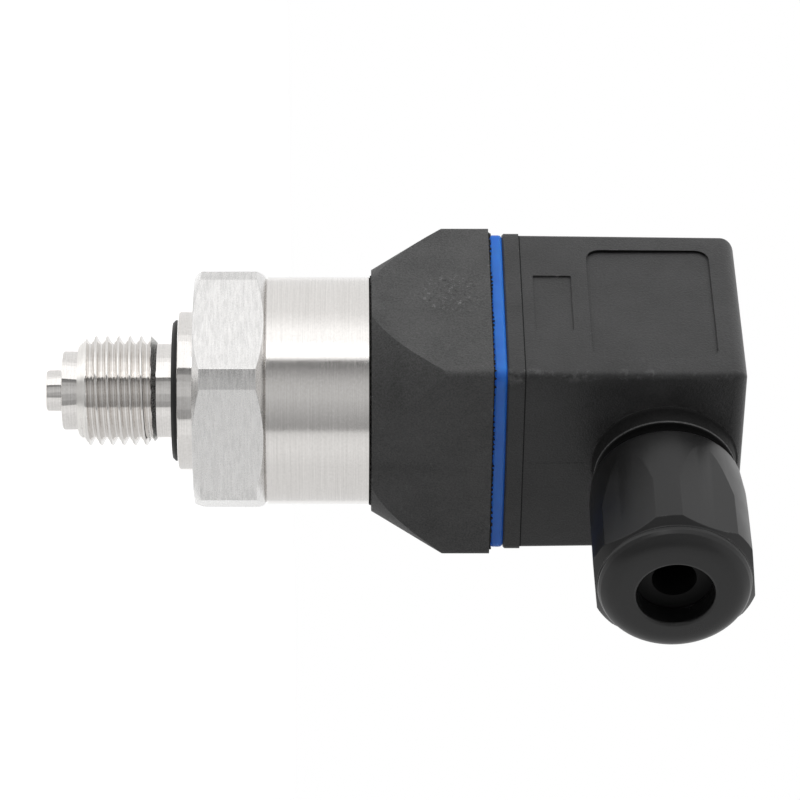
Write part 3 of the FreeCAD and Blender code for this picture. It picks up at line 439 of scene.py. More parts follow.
plainLooks = {
    "blackRubber": {
        "colour": (0.014, 0.014, 0.014), "roughness": 0.55, "specular": 0.4, "grain": 1800,
        "depth": 0.00002},
    # painted shade: darker than the other black rubber, standing in for the shade in the nut's hole
    "grommetRubber": {
        "colour": (0.005, 0.005, 0.005), "roughness": 0.6, "specular": 0.2, "grain": 1800,
        "depth": 0.00002},
    # milky, so light scatters inside it; its glow is painted light, a faint blue emission that brightens its
    # shaded sides
    "gasketSilicone": {
        "colour": (0.014, 0.165, 0.830), "roughness": 0.45, "specular": 0.25, "grain": 900,
        "depth": 0.00002, "milky": 0.7, "glow": (0.00425, 0.01955, 0.085)},
    "firedCeramic": {
        "colour": (0.78, 0.77, 0.72), "roughness": 0.35, "specular": 0.5, "grain": 1400,
        "depth": 0.00001},
    "boardLaminate": {
        "colour": (0.03, 0.16, 0.07), "roughness": 0.4, "specular": 0.5, "grain": 2200,
        "depth": 0.00001},
    "chipMoulding": {
        "colour": (0.02, 0.02, 0.02), "roughness": 0.6, "specular": 0.4, "grain": 2600,
        "depth": 0.00001},
    "capacitorBody": {
        "colour": (0.38, 0.26, 0.14), "roughness": 0.5, "specular": 0.4, "grain": 2600,
        "depth": 0.00001},
}
metalLooks = {
    "tinnedBrass": {
        "dark": (0.62, 0.57, 0.45), "light": (0.74, 0.70, 0.60), "roughness": 0.3, "grain": 700},
    "platedSteel": {
        "dark": (0.55, 0.55, 0.53), "light": (0.70, 0.70, 0.68), "roughness": 0.3, "grain": 900},
    "leadWire": {
        "dark": (0.62, 0.50, 0.26), "light": (0.78, 0.66, 0.40), "roughness": 0.28, "grain": 900},
}
finishes = {}
for make, looks in ((steel, steelLooks), (mouldedPlastic, plasticLooks),
                    (plainStuff, plainLooks), (plainMetal, metalLooks)):
    for name, look in looks.items():
        finishes[name] = make(name, look)

# the blades and the forks that grip them aren't listed: they are tinned brass
nodeFinish = {
    "case_sleeve": "tubeSteel",
    "sealing_ring": "blackRubber", "cell_o_ring": "blackRubber", "base_o_ring": "blackRubber",
    "screw_seal": "blackRubber", "gland_grommet": "grommetRubber",
    "profile_gasket": "gasketSilicone",
    "pressure_cell": "firedCeramic", "clamp_ring": "platedSteel", "cell_leads": "leadWire",
    "main_board": "boardLaminate", "terminal_board": "boardLaminate",
    "amplifier_chip": "chipMoulding", "capacitors": "capacitorBody",
    "screw_insert": "tinnedBrass", "terminal_screws": "platedSteel",
    "screw_washer": "platedSteel", "centre_screw": "platedSteel",
    "terminal_block": "blockPlastic", "thrust_ring": "nutPlastic",
    "process_connection": "portSteel", "plug_base": "basePlastic",
    "connector_housing": "housingPlastic", "gland_nut": "nutPlastic",
}
for name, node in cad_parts.items():
    finish = finishes[nodeFinish.get(name, "tinnedBrass")]
    node.data.materials.clear()
    node.data.materials.append(finish)
print("finishes made")


# points round the two axes, in millimetres: along the axis, away from it and the angle round it
def upAxis(along, away, angle):
    return Vector((away * math.cos(angle), away * math.sin(angle), along)) * mm


def glandAxis(along, away, angle):
    return Vector((along, away * math.cos(angle), glandLevel + away * math.sin(angle))) * mm


def addObject(name, build):
    mesh = bpy.data.meshes.new(name)
    build.to_mesh(mesh)
    build.free()
    item = bpy.data.objects.new(name, mesh)
    scene.collection.objects.link(item)
    return item


def addPiece(name, build, body, finish, stands=()):
    bmesh.ops.remove_doubles(build, verts=build.verts, dist=1e-7)
    bmesh.ops.recalc_face_normals(build, faces=build.faces)
    piece = addObject(name, build)
    piece.data.shade_smooth()
    piece.data.materials.append(finishes[finish])
    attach(piece, body)
    if stands:
        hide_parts(*stands)
    return piece


def loft(build, rings, closeFirst=False, closeLast=False):
    # walls between rings that have the same number of points
    rows = [[build.verts.new(point) for point in ring] for ring in rings]
    count = len(rows[0])
    for low, high in zip(rows, rows[1:]):
        for i in range(count):
            j = (i + 1) % count
            build.faces.new((low[i], low[j], high[j], high[i]))
    if closeFirst:
        build.faces.new(rows[0])
    if closeLast:
        build.faces.new(rows[-1])


def turned(build, place, profile, steps=96, **ends):
    angles = [math.tau * i / steps for i in range(steps)]
    loft(build, [[place(s, r, a) for a in angles] for s, r in profile], **ends)


def soften(piece, width, angle=28, segments=2):
    bevel = piece.modifiers.new("softEdges", "BEVEL")
    bevel.width = width * mm
    bevel.segments = segments
    bevel.limit_method = "ANGLE"
    bevel.angle_limit = math.radians(angle)
    bevel.harden_normals = True


def threadDrop(along, pitch, depth, rounding):
    # how far a 55 degree thread lies below its crest, along the axis from a crest
    half = math.radians(27.5)
    reach = rounding * math.cos(half)
    away = abs((along / pitch + 0.5) % 1.0 - 0.5) * pitch
    if away < reach:
        return rounding - math.sqrt(rounding ** 2 - away ** 2)
    if away > pitch / 2 - reach:
        return depth - rounding + math.sqrt(rounding ** 2 - (pitch / 2 - away) ** 2)
    return rounding * (1 - math.sin(half)) + (away - reach) / math.tan(half)


def threadRings(place, first, last, look, limit):
    # rings along a screwed length; limit gives the turned radius at each station
    rows = round((last - first) / look["pitch"] * look["perTurn"])
    rings = []
    for row in range(rows + 1):
        s = first + (last - first) * row / rows
        ring = []
        for i in range(look["steps"]):
            angle = math.tau * i / look["steps"]
            along = s - look["start"] - look["pitch"] * angle / math.tau
            radius = look["crest"] - threadDrop(along, look["pitch"], look["depth"], look["rounding"])
            ring.append(place(s, min(radius, limit(s)), angle))
        rings.append(ring)
    return rings


portThread = {
    "pitch": 1.337, "depth": 0.856, "rounding": 0.1836, "crest": 6.5785,
    "start": -0.06, "steps": 144, "perTurn": 22,
}
portShape = {
    "bore": 1.5, "boreTop": 3.0, "pin": 2.5, "pinEnd": -15.8, "nose": 4.75, "noseEnd": -13.8,
    "stemEnd": -11.9, "leadIn": 5.28, "undercut": 5.6985, "undercutLength": 2.55,
    "recess": 0.8, "recessRound": 0.4, "ringSeat": 8.425, "collar": 9.595, "intoHexagon": 0.4,
    "edge": 0.3,
    "sharpFrom": 32,        # degrees
    "roughLength": 1.0, "roughLean": 0.5,       # where the last cut is rough, and how far it faces up
    "coneLength": 1.0, "coneLean": -0.35,       # the same for the turned cone that leads the thread in
}


def makePort():
    p, t = portShape, portThread
    build = bmesh.new()
    edge, soft = p["edge"], p["recessRound"]
    turned(build, upAxis, [
        (p["boreTop"], p["bore"]), (p["pinEnd"], p["bore"]), (p["pinEnd"], p["pin"] - edge),
        (p["pinEnd"] + edge * 0.3, p["pin"] - edge * 0.3), (p["pinEnd"] + edge, p["pin"]),
        (p["noseEnd"], p["pin"]), (p["noseEnd"], p["nose"] - edge),
        (p["noseEnd"] + edge * 0.3, p["nose"] - edge * 0.3), (p["noseEnd"] + edge, p["nose"]),
        (p["stemEnd"], p["nose"]), (p["stemEnd"], p["leadIn"])], t["steps"])

    def limit(s):
        leadIn = p["leadIn"] + s - p["stemEnd"]
        runOut = p["undercut"] - p["undercutLength"] - s
        return min(leadIn, max(runOut, p["undercut"]))

    rings = threadRings(upAxis, p["stemEnd"], -p["undercutLength"], t, limit)
    loft(build, rings)
    turned(build, upAxis, [
        (-p["undercutLength"], p["undercut"]), (p["recess"] - soft, p["undercut"]),
        (p["recess"] - soft / 4, p["undercut"] + soft / 4), (p["recess"], p["undercut"] + soft),
        (p["recess"], p["ringSeat"]), (0, p["ringSeat"]), (0, p["collar"] - edge),
        (edge * 0.3, p["collar"] - edge * 0.3), (edge, p["collar"]),
        (hexBottom + p["intoHexagon"], p["collar"])], t["steps"])
    piece = addPiece("threadedPort", build, "transmitter", "portSteel",
                     ["process_connection"])
    piece.data.set_sharp_from_angle(angle=math.radians(p["sharpFrom"]))
    piece.data.materials.append(finishes["cutSteel"])
    piece.data.materials.append(finishes["turnedSteel"])
    for polygon in piece.data.polygons:
        level = polygon.center.z / mm
        reach = math.hypot(polygon.center.x, polygon.center.y) / mm
        lean = polygon.normal.z
        beforeRelief = level + p["undercutLength"]
        onCut = -p["roughLength"] < beforeRelief < 0 and p["undercut"] < reach < t["crest"]
        onCone = p["stemEnd"] - 0.01 < level < p["stemEnd"] + p["coneLength"]
        if onCut and lean > p["roughLean"]:
            polygon.material_index = 1
        if onCone and lean < p["coneLean"]:
            polygon.material_index = 2


def flatColumns(sides, flat, corner, turn, perFlat=10, perCorner=5):
    # angles round a bar of flats whose corners are turned to a radius
    half = math.acos(flat / corner)
    angles = []
    for side in range(sides):
        middle = turn + math.tau * side / sides
        for i in range(perFlat + 1):
            angles.append(middle + math.atan(math.tan(half) * (2 * i / perFlat - 1)))
        rest = math.tau / sides - 2 * half
        for i in range(1, perCorner):
            angles.append(middle + half + rest * i / perCorner)
    return angles


def flatRadius(sides, flat, turn, angle):
    step = math.tau / sides
    away = (angle - turn + step / 2) % step - step / 2
    return flat / math.cos(away)


def columnRings(place, columns, angles):
    # turns columns of (station, radius) points, one for each angle, into rings
    return [[place(s, r, angle) for (s, r), angle in zip(ring, angles)] for ring in zip(*columns)]


hexShape = {
    "flat": 13.5, "corner": 14.95, "face": 13.42, "chamfer": 30.0, "turn": -14.6,
    "inside": 9.0, "edge": 0.14,
}


def makeHexagon():
    h = hexShape
    turn = math.radians(h["turn"])
    angles = flatColumns(6, h["flat"], h["corner"], turn)
    slope = math.tan(math.radians(h["chamfer"]))
    columns = []
    for angle in angles:
        wall = min(h["corner"], flatRadius(6, h["flat"], turn, angle))
        drop = (wall - h["face"]) * slope
        columns.append([
            (hexBottom, h["inside"]), (hexBottom, h["face"]), (hexBottom + drop, wall),
            (hexTop - drop, wall), (hexTop, h["face"]), (hexTop, h["inside"])])
    build = bmesh.new()
    loft(build, columnRings(upAxis, columns, angles))
    piece = addPiece("spannerHexagon", build, "transmitter", "hexSteel",
                     ["process_connection"])
    soften(piece, h["edge"], 18)


makePort()
makeHexagon()
print("port and hexagon made")


def squareRing(half, corner, z, perCorner=6, perSide=4):
    # a rounded square round the axis, starting in the middle of the side at +X
    corner = max(corner, 0.01)
    straight = half - corner
    points = []
    for quarter in range(4):
        turn = Matrix.Rotation(math.tau * quarter / 4, 3, "Z")
        for i in range(perSide):
            points.append(turn @ Vector((half, straight * (2 * i / perSide - 1), z)) * mm)
        for i in range(perCorner + 1):
            angle = math.tau / 4 * i / perCorner
            points.append(turn @ Vector((
                straight + corner * math.cos(angle), straight + corner * math.sin(angle), z)) * mm)
    return points


def roundRing(radius, z, like):
    # a circle whose points face those of a given ring
    return [Vector((p.x, p.y, 0)).normalized() * radius * mm + Vector((0, 0, z * mm)) for p in like]


baseShape = {
    "corner": 0.9, "coneStart": 14.34, "coneHeight": 8.43, "spigot": 12.22, "spigotLength": 5.0,
    "cavity": 10.06, "ceiling": 3.0, "boss": 4.0, "bossLength": 6.0, "insert": 2.42, "edge": 0.16,
}


def makeBase():
    b = baseShape
    half, corner = baseHalf, b["corner"]
    outline = squareRing(half, corner, 0, 8, 24)
    reach = half * math.sqrt(2) - corner * (math.sqrt(2) - 1)
    slope = b["coneHeight"] / (reach - b["coneStart"])
    build = bmesh.new()
    lowRing, coneRing, wallRing = [], [], []
    for point in outline:
        radius = Vector((point.x, point.y)).length / mm
        facing = Vector((point.x, point.y, 0)).normalized()
        start = min(radius, b["coneStart"])
        lowRing.append(facing * start * mm + Vector((0, 0, baseBottom * mm)))
        rise = max(0.0, (radius - b["coneStart"]) * slope)
        coneRing.append(Vector((point.x, point.y, (baseBottom + rise + 0.001) * mm)))
        wallRing.append(Vector((point.x, point.y, baseTop * mm)))
    spigotEnd, ceiling = baseBottom - b["spigotLength"], baseTop - b["ceiling"]
    bossEnd = baseTop - b["bossLength"]
    loft(build, [
        roundRing(b["insert"], baseTop, outline), roundRing(b["insert"], bossEnd, outline),
        roundRing(b["boss"], bossEnd, outline), roundRing(b["boss"], ceiling, outline),
        roundRing(b["cavity"], ceiling, outline), roundRing(b["cavity"], spigotEnd, outline),
        roundRing(b["spigot"], spigotEnd, outline), roundRing(b["spigot"], baseBottom, outline),
        lowRing, coneRing, wallRing, roundRing(b["insert"], baseTop, outline)])
    piece = addPiece("plugBase", build, "transmitter", "basePlastic", ["plug_base"])
    soften(piece, b["edge"], 24)


flash = {
    "reach": 0.12, "tall": 0.22, "thick": 0.12,
    "lowRadius": 13.56, "lowLeast": 0.04, "lowSteps": 420,
    "highInset": 0.32, "highCorner": 0.5, "highLeast": 0.10, "highSteps": 620,
}


def makeFlash(name, radiusAt, level, upward, least, steps, body):
    # a ragged sliver of plastic along an edge where the mould closes, painted shade black like the shadow gap
    # along that edge
    build = bmesh.new()
    rows = []
    for i in range(steps):
        angle = math.tau * i / steps
        ragged = max(0.0, math.sin(i * 1.9) * math.sin(i * 0.71 + 1.0) + 0.25 * math.sin(i * 0.13))
        tall = upward * (least + flash["tall"] * ragged)
        outer = radiusAt(angle) + flash["reach"] * (0.5 + 0.5 * math.sin(i * 1.7))
        inner = outer - flash["thick"] - flash["reach"]
        rows.append([upAxis(level, inner, angle), upAxis(level + tall, inner, angle),
                     upAxis(level + tall, outer, angle), upAxis(level, outer, angle)])
    rings = [[row[k] for row in rows] for k in range(4)]
    loft(build, rings + [rings[0]])
    addPiece(name, build, body, "neckPlastic")


def baseEdge(angle):
    # the square outline's distance from the axis, a little inside the wall
    half = baseHalf - flash["highInset"]
    toWall = half / max(abs(math.cos(angle)), abs(math.sin(angle)))
    return min(toWall, half * math.sqrt(2) - flash["highCorner"])


makeBase()
makeFlash("lowerFlash", lambda angle: flash["lowRadius"], baseBottom, -1, flash["lowLeast"],
          flash["lowSteps"], "transmitter")
makeFlash("upperFlash", baseEdge, baseTop, 1, flash["highLeast"], flash["highSteps"], "transmitter")
print("base made")


def slab(build, halfX, halfY, corner, low, high, centre=(0, 0), faceUp="Z", perCorner=6):
    # a closed rounded slab: flat in XY and thick along Z, or flat in XZ and thick along Y
    rings = []
    for level in (low, high):
        ring = []
        for quarter, (sx, sy) in enumerate(((1, 1), (-1, 1), (-1, -1), (1, -1))):
            for i in range(perCorner + 1):
                angle = math.tau / 4 * (quarter + i / perCorner)
                across = sx * (halfX - corner) + corner * math.cos(angle) + centre[0]
                along = sy * (halfY - corner) + corner * math.sin(angle) + centre[1]
                point = (across, along, level) if faceUp == "Z" else (across, level, along)
                ring.append(Vector(point) * mm)
        rings.append(ring)
    loft(build, rings, closeFirst=True, closeLast=True)


def cutAway(piece, shapes):
    # cuts closed shapes out of a piece and keeps the result as its mesh
    for number, build in enumerate(shapes):
        bmesh.ops.recalc_face_normals(build, faces=build.faces)
        cutter = addObject(f"cutter{number}", build)
        cut = piece.modifiers.new(f"cut{number}", "BOOLEAN")
        cut.operation = "DIFFERENCE"
        cut.solver = "EXACT"
        cut.object = cutter
        bpy.context.view_layer.update()
        evaluated = piece.evaluated_get(bpy.context.evaluated_depsgraph_get())
        whole = bpy.data.meshes.new_from_object(evaluated)
        piece.modifiers.remove(cut)
        piece.data = whole
        bpy.data.objects.remove(cutter)
    piece.data.shade_smooth()


gasketShape = {
    "corner": 1.35, "round": 0.4, "hole": 3.0, "slotWidth": 7.2, "slotHeight": 1.7, "slotCorner": 0.2,
    "contact": 9.0, "sharpFrom": 40,
}


def makeGasket():
    g = gasketShape
    low, high, soft = baseTop, gasketTop, g["round"]
    rings = []
    for level, way, angles in ((low, 1, (0, 30, 60, 90)), (high, -1, (90, 60, 30, 0))):
        for angle in angles:
            inset = soft * (1 - math.sin(math.radians(angle)))
            rise = soft * (1 - math.cos(math.radians(angle)))
            rings.append(squareRing(gasketHalf - inset, g["corner"] - inset, level + way * rise, 8))
    hole = [roundRing(g["hole"], level, rings[0]) for level in (high, low)]
    build = bmesh.new()
    loft(build, [hole[1]] + rings + hole)
    piece = addPiece("blueGasket", build, "transmitter", "gasketSilicone",
                     ["profile_gasket"])
    shapes = []
    for quarter in range(4):
        cutter = bmesh.new()
        across, along = g["slotHeight"] / 2, g["slotWidth"] / 2
        if quarter % 2:
            across, along = along, across
        turn = math.tau * quarter / 4
        slab(cutter, across, along, g["slotCorner"], low - 1, high + 1,
             (g["contact"] * math.cos(turn), g["contact"] * math.sin(turn)), perCorner=2)
        shapes.append(cutter)
    cutAway(piece, shapes)
    piece.data.set_sharp_from_angle(angle=math.radians(g["sharpFrom"]))
    # flat faces stay flat up to their rounded edges
    even = piece.modifiers.new("evenNormals", "WEIGHTED_NORMAL")
    even.keep_sharp = True


makeGasket()
print("gasket made")


housingShape = {
    "lipCorner": 0.9, "lipTop": 2.0, "lipLine": 0.15, "groove": 0.22,
    "wallHalf": 13.37, "corner": 0.77, "draft": 0.45,
    "topRound": 1.6, "cavityHalf": 11.62, "cavityCorner": 1.2, "topWall": 2.0,
    "counterbore": 3.25, "counterboreDepth": 3.4, "screwWay": 1.7, "post": 4.2, "postEnd": 50.2,
    "topSteps": 8, "topCorner": 0.6,        # how much of the top's rounding its corners take
    "outside": -15, "edge": 0.13,
}
labelPad = {"side": 3.2, "top": 3.2, "rise": 7.9, "depth": 0.36, "corner": 1.7}
codeFrame = {"width": 10.3, "height": 4.5, "rise": 1.45, "depth": 0.22, "corner": 0.2}
cableWay = {"radius": 5.37, "from": 10.7, "to": 14.0}


def wallHalf(level):
    h = housingShape
    return h["wallHalf"] - (level - gasketTop - h["lipTop"]) * math.tan(math.radians(h["draft"]))


def makeHousing():
    h = housingShape
    lipTop = gasketTop + h["lipTop"]
    roundStart = housingTop - h["topRound"]
    groove = h["groove"]
    lineTop = lipTop + h["lipLine"]
    half, corner = wallHalf(roundStart), h["corner"]
    outlines = [
        (gasketHalf - groove, h["lipCorner"] - groove, gasketTop),
        (gasketHalf, h["lipCorner"], gasketTop + groove), (gasketHalf, h["lipCorner"], lipTop),
        (h["wallHalf"], corner, lipTop), (wallHalf(lineTop), corner, lineTop), (half, corner, roundStart)]
    for step in range(1, h["topSteps"] + 1):
        angle = math.radians(90 * step / h["topSteps"])
        inset = h["topRound"] * (1 - math.cos(angle))
        outlines.append((half - inset, corner - inset * h["topCorner"],
                         roundStart + h["topRound"] * math.sin(angle)))
    rings = [squareRing(*outline, 6, 12) for outline in outlines]
    like = rings[0]
    floor = housingTop - h["counterboreDepth"]
    ceiling = housingTop - h["topWall"]
    rings += [roundRing(h["counterbore"], housingTop, like), roundRing(h["counterbore"], floor, like),
              roundRing(h["screwWay"], floor, like), roundRing(h["screwWay"], h["postEnd"], like),
              roundRing(h["post"], h["postEnd"], like), roundRing(h["post"], ceiling, like),
              squareRing(h["cavityHalf"], h["cavityCorner"], ceiling, 6, 12),
              squareRing(h["cavityHalf"], h["cavityCorner"], gasketTop, 6, 12), like]
    build = bmesh.new()
    loft(build, rings)
    piece = addPiece("plugHousing", build, "plug", "housingPlastic",
                     ["connector_housing"])
    shapes = []
    half = h["wallHalf"] - labelPad["side"]
    low = lipTop + labelPad["rise"]
    high = housingTop - labelPad["top"]
    floorY = -(wallHalf((low + high) / 2) - labelPad["depth"])
    pad = bmesh.new()
    slab(pad, half, (high - low) / 2, labelPad["corner"], h["outside"], floorY,
         (0, (high + low) / 2), "Y", 10)
    shapes.append(pad)
    low = lipTop + codeFrame["rise"]
    middle = low + codeFrame["height"] / 2
    floorY = -(wallHalf(middle) - codeFrame["depth"])
    small = bmesh.new()
    slab(small, codeFrame["width"] / 2, codeFrame["height"] / 2, codeFrame["corner"], h["outside"],
         floorY, (0, middle), "Y", 4)
    shapes.append(small)
    way = bmesh.new()
    turned(way, glandAxis, [(cableWay["from"], cableWay["radius"]), (cableWay["to"], cableWay["radius"])],
           64, closeFirst=True, closeLast=True)
    shapes.append(way)
    cutAway(piece, shapes)
    # painted shade: the lip's foot and the pad's far wall are painted black, as the shade in the step and the
    # recess
    piece.data.materials.append(finishes["neckPlastic"])
    for polygon in piece.data.polygons:
        centre = polygon.center / mm
        foot = lipTop < centre.z < lineTop and abs(polygon.normal.z) < 0.5
        padWall = polygon.normal.x > 0.6 and -half - 0.1 < centre.x < -half + labelPad["corner"] and (
            centre.y < floorY + 0.1 and centre.z > low + labelPad["corner"])
        if foot or padWall:
            polygon.material_index = 1
    soften(piece, h["edge"], 30)


glandShape = {
    "boss": 8.35, "bossEnd": 15.85, "bossRound": 0.25, "flare": 0.25, "inside": 12.4, "seat": 19.95,
    "bore": 6.17, "threadTo": 31.2, "endRound": 0.2,
    "rim": 0.2, "black": 0.05,      # how far before the boss's end its pale rim, a painted highlight, and its black face, painted shade, start
}
neckThread = {
    "pitch": 1.411, "depth": 0.45, "rounding": 0.12, "crest": 7.2,
    "start": 16.6, "steps": 120, "perTurn": 14,
}


def makeGlandNeck():
    g, t = glandShape, neckThread
    face = housingShape["wallHalf"]
    flare = [(face + g["flare"] * (1 - math.cos(math.radians(a))),
              g["boss"] + g["flare"] * (1 - math.sin(math.radians(a)))) for a in range(0, 91, 15)]
    root = t["crest"] - t["depth"]
    soft, end = g["bossRound"], g["endRound"]

    def limit(s):
        return min(t["crest"], root + max(0.0, min(s - t["start"], g["threadTo"] - s)))

    build = bmesh.new()
    turned(build, glandAxis, [
        (cableWay["from"] + 1, cableWay["radius"]), (g["inside"], cableWay["radius"]),
        (g["inside"], g["boss"] + g["flare"])] + flare + [
        (g["bossEnd"] - soft, g["boss"]), (g["bossEnd"] - soft * 0.28, g["boss"] - soft * 0.28),
        (g["bossEnd"], g["boss"] - soft), (g["bossEnd"], root), (t["start"], root)], t["steps"])
    loft(build, threadRings(glandAxis, t["start"], g["threadTo"], t, limit))
    turned(build, glandAxis, [
        (g["threadTo"], root), (neckEnd - end, root), (neckEnd, root - end), (neckEnd, g["bore"]),
        (g["seat"], g["bore"]), (g["seat"], cableWay["radius"]),
        (cableWay["from"] + 1, cableWay["radius"])], t["steps"])
    for vert in build.verts:
        # the flare follows the sloping wall and stops short of the housing's end
        gap = face - wallHalf(vert.co.z / mm)
        along = vert.co.x / mm - face
        if -0.01 < along < g["flare"]:
            vert.co.x -= gap * (1 - along / g["flare"]) * mm
        vert.co.z = min(vert.co.z, (housingTop - 0.02) * mm)
    piece = addPiece("glandNeck", build, "plug", "bossPlastic", ["connector_housing"])
    piece.data.materials.append(finishes["neckPlastic"])
    piece.data.materials.append(finishes["rimPlastic"])
    for polygon in piece.data.polygons:
        past = polygon.center.x / mm - g["bossEnd"]
        # painted shade, black behind the nut, and a painted highlight, a pale rim on the boss with scuffed
        # flecks
        polygon.material_index = 1 if past > -g["black"] else 2 if past > -g["rim"] else 0


seam = {"width": 0.16, "height": 0.05, "crest": 0.04, "foot": 0.05, "from": 41.0, "to": 47.6, "steps": 24}


def makeSeam():
    # the thin line that the two halves of the mould leave on the gland's face
    build = bmesh.new()
    rows = []
    last, half, crest = seam["steps"], seam["width"] / 2, seam["crest"] / 2
    for i in range(last + 1):
        z = seam["from"] + (seam["to"] - seam["from"]) * i / last
        x = wallHalf(z)
        foot = x - seam["foot"]
        top = x + seam["height"] * (0.75 + 0.25 * math.sin(i * 1.9)) * (1 if 0 < i < last else 0.1)
        rows.append([Vector(point) * mm for point in (
            (foot, -half, z), (top, -crest, z), (top, crest, z), (foot, half, z))])
    loft(build, rows, closeFirst=True, closeLast=True)
    addPiece("mouldSeam", build, "plug", "housingPlastic")


makeHousing()
makeGlandNeck()
makeSeam()
print("housing made")


nutShape = {
    "flat": 9.0, "corner": 9.65, "rear": 8.78, "rearCone": 9.2, "chamfer": 0.75, "dome": 8.78,
    "domeHeight": 2.0, "domeDeep": 1.93, "domeRound": 2.6, "hole": 4.42, "bore": 7.28, "frontWall": 2.67,
    "turn": 36.0, "sharpFrom": 7, "rearRound": 0.3, "edge": 0.12,
    "holeRound": (0.35, 0.1),       # where its round starts, and how deep its middle lies
}


def makeNut():
    n = nutShape
    turn = math.radians(n["turn"])
    angles = flatColumns(6, n["flat"], n["corner"], turn, 12, 6)
    hexEnd = nutFront - n["domeHeight"]
    shoulder = nutFront - n["frontWall"]
    soft = n["rearRound"]
    rim, middle = n["holeRound"]
    dome = []
    for a in range(0, 91, 15):
        dome.append((nutFront - n["domeDeep"] * (1 - math.sin(math.radians(a))),
                     n["dome"] - n["domeRound"] * (1 - math.cos(math.radians(a)))))
    columns = []
    for angle in angles:
        wall = min(n["corner"], flatRadius(6, n["flat"], turn, angle))
        low = nutRear + n["rearCone"] * (wall - n["rear"]) / (n["corner"] - n["rear"])
        high = hexEnd - n["chamfer"] * (wall - n["dome"]) / (n["corner"] - n["dome"])
        column = [
            (shoulder, n["bore"]), (nutRear + soft, n["bore"]), (nutRear, n["bore"] + soft),
            (nutRear, n["rear"] - soft), (nutRear + soft * 0.3, n["rear"] - soft * 0.3),
            (nutRear + soft, n["rear"]), (max(low, nutRear + soft + 0.05), wall), (high, wall),
            (hexEnd, n["dome"])]
        column += dome + [
            (nutFront, n["hole"] + rim), (nutFront - middle, n["hole"] + middle),
            (nutFront - rim, n["hole"]), (shoulder, n["hole"]), (shoulder, n["bore"])]
        columns.append(column)
    build = bmesh.new()
    loft(build, columnRings(glandAxis, columns, angles))
    piece = addPiece("glandNut", build, "gland_nut", "nutPlastic", ["gland_nut"])
    # crisp flats, but a smooth dome
    piece.data.set_sharp_from_angle(angle=math.radians(n["sharpFrom"]))
    domeStart = (hexEnd + 0.01) * mm
    for line in piece.data.edges:
        if max(piece.data.vertices[i].co.x for i in line.vertices) > domeStart:
            line.use_edge_sharp = False
    soften(piece, n["edge"], 16)


makeNut()
print("nut made")


floorLook = {
    "colour": (0.80, 0.80, 0.80), "darker": 0.98, "patches": 3.0, "roughness": 0.8, "specular": 0.2,
    "glow": 0.80, "size": 1.6,
}


def makeFloor():
    build = bmesh.new()
    reach = floorLook["size"]
    level = cadBox[0][2]
    build.faces.new([build.verts.new((x * reach, y * reach, level))
                     for x, y in ((-1, -1), (1, -1), (1, 1), (-1, 1))])
    floor = addObject("floor", build)
    material, tree, shader, place = startFinish(
        "paleFloor", floorLook["roughness"], specular=floorLook["specular"])
    tone = floorLook["colour"]
    clouds = noise(tree, place, floorLook["patches"], 2.0)
    tree.links.new(swell(tree, clouds, tuple(part * floorLook["darker"] for part in tone), tone),
                   shader.inputs["Base Color"])
    shader.inputs["Emission Color"].default_value = (1, 1, 1, 1)
    tree.links.new(sums(tree, "MULTIPLY", seenDirectly(tree), floorLook["glow"]),
                   shader.inputs["Emission Strength"])
    floor.data.materials.append(material)


def fromCamera(degrees, distance, height):
    # a spot round the part, by degrees from the camera towards the label face's far side
    angle = math.radians(degrees)
    outward = toCamera * math.cos(angle) + towardsLabel * math.sin(angle)
    return outward * distance + Vector((0, 0, height))


# degrees round from the camera towards the label face's far side, then metres
lamps = {
    "softBox": {
        "degrees": 84, "distance": 0.52, "height": 0.33, "width": 0.40, "tall": 0.50, "radiance": 3.45},
    "endBox": {
        "degrees": 20, "distance": 0.30, "height": 0.62, "width": 0.30, "tall": 0.30, "radiance": 2.0},
}
lampAim = Vector((0, 0, 0.025))
roomLight = {"seen": 1.0, "ambient": 0.17}
# what the steel and plastic mirror, as degrees from the camera and the brightness there
roomTones = [
    (-150, 0.84), (-120, 0.83), (-80, 0.85), (-64, 0.93), (-50, 0.90), (-42, 0.80), (-40, 0.38),
    (-26, 0.48), (-8, 0.64), (5, 0.60), (12, 0.52), (22, 0.28), (27, 0.22), (30.5, 0.12),
    (31.2, 1.36), (60, 1.38), (72, 1.14), (84, 1.0), (150, 0.93)]
# near and far edges, each a distance from the axis, a height and a share of the direction
cards = {
    "wallCard": {"near": (0.56, -0.0140, 1.0), "far": (0.56, 0.5, 1.0)},
    "floorCard": {"near": (0.00262, -0.01578, 0.5), "far": (0.56, -0.0140, 1.0)},
    # the bright patch that the nut's dome mirrors along its upper rim
    "brightCard": {
        "near": (0.10, -0.0138, 1.0), "far": (0.50, -0.0138, 1.0), "tones": [(33, 3.4), (46, 3.4)]},
}


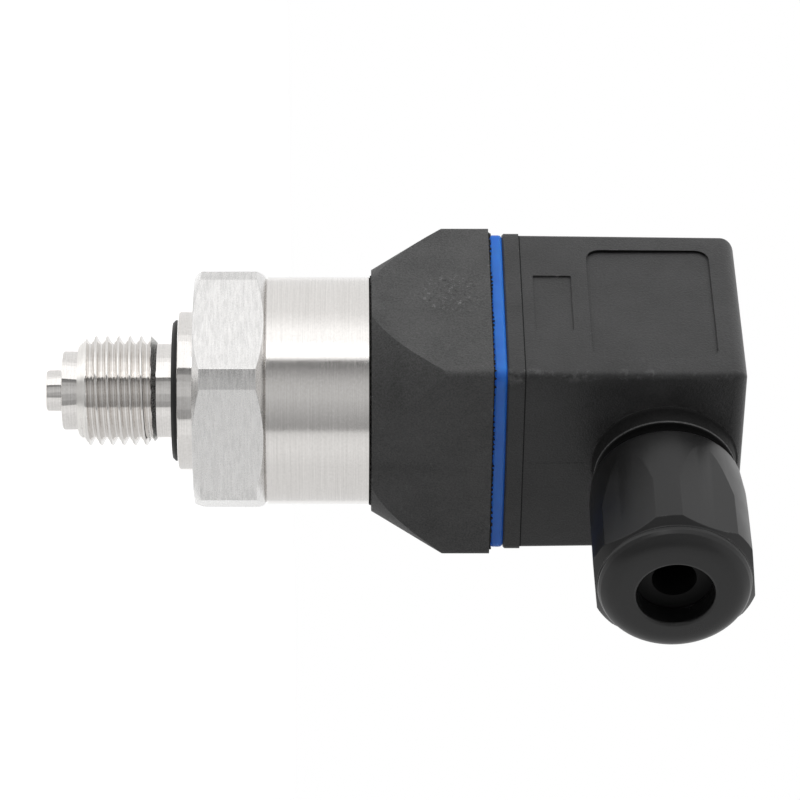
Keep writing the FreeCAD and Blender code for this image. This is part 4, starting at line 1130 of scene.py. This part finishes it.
def makeLights():
    for name, lamp in lamps.items():
        light = bpy.data.lights.new(name, "AREA")
        light.shape = "RECTANGLE"
        light.size = lamp["width"]
        light.size_y = lamp["tall"]
        light.energy = lamp["radiance"] * math.pi * lamp["width"] * lamp["tall"]
        holder = bpy.data.objects.new(name, light)
        holder.matrix_world = aimedFrame(
            fromCamera(lamp["degrees"], lamp["distance"], lamp["height"]), lampAim)
        holder.visible_glossy = False
        scene.collection.objects.link(holder)

    world = bpy.data.worlds.new("room")
    scene.world = world
    world.use_nodes = True
    tree = world.node_tree
    ground = tree.nodes["Background"]
    ground.inputs["Color"].default_value = (1, 1, 1, 1)
    spread = roomLight["seen"] - roomLight["ambient"]
    seen = sums(tree, "MULTIPLY", seenDirectly(tree), spread)
    tree.links.new(sums(tree, "ADD", seen, roomLight["ambient"]), ground.inputs["Strength"])


def makeCard(name, card):
    # a side of the room that only the steel and plastic mirror
    build = bmesh.new()
    tones = build.loops.layers.float_color.new("tone")
    marks = card.get("tones", roomTones)
    rows = []
    for distance, height, share in (card["near"], card["far"]):
        rows.append([build.verts.new(fromCamera(degrees * share, distance, height))
                     for degrees, grey in marks])
    for i in range(len(marks) - 1):
        face = build.faces.new((rows[0][i], rows[0][i + 1], rows[1][i + 1], rows[1][i]))
        for loop, step in zip(face.loops, (0, 1, 1, 0)):
            grey = marks[i + step][1]
            loop[tones] = (grey, grey, grey, 1)
    piece = addObject(name, build)
    material, tree, shader = startFinish(name + "Cloth", 1.0, specular=0.0)[:3]
    shader.inputs["Base Color"].default_value = (0, 0, 0, 1)
    shader.inputs["Emission Strength"].default_value = 1.0
    tone = tree.nodes.new("ShaderNodeVertexColor")
    tone.layer_name = "tone"
    tree.links.new(tone.outputs["Color"], shader.inputs["Emission Color"])
    piece.data.materials.append(material)
    piece.visible_camera = False
    piece.visible_diffuse = False
    piece.visible_shadow = False
    piece.visible_transmission = False


makeFloor()
makeLights()
for name, card in cards.items():
    makeCard(name, card)
print("stage and lights made")
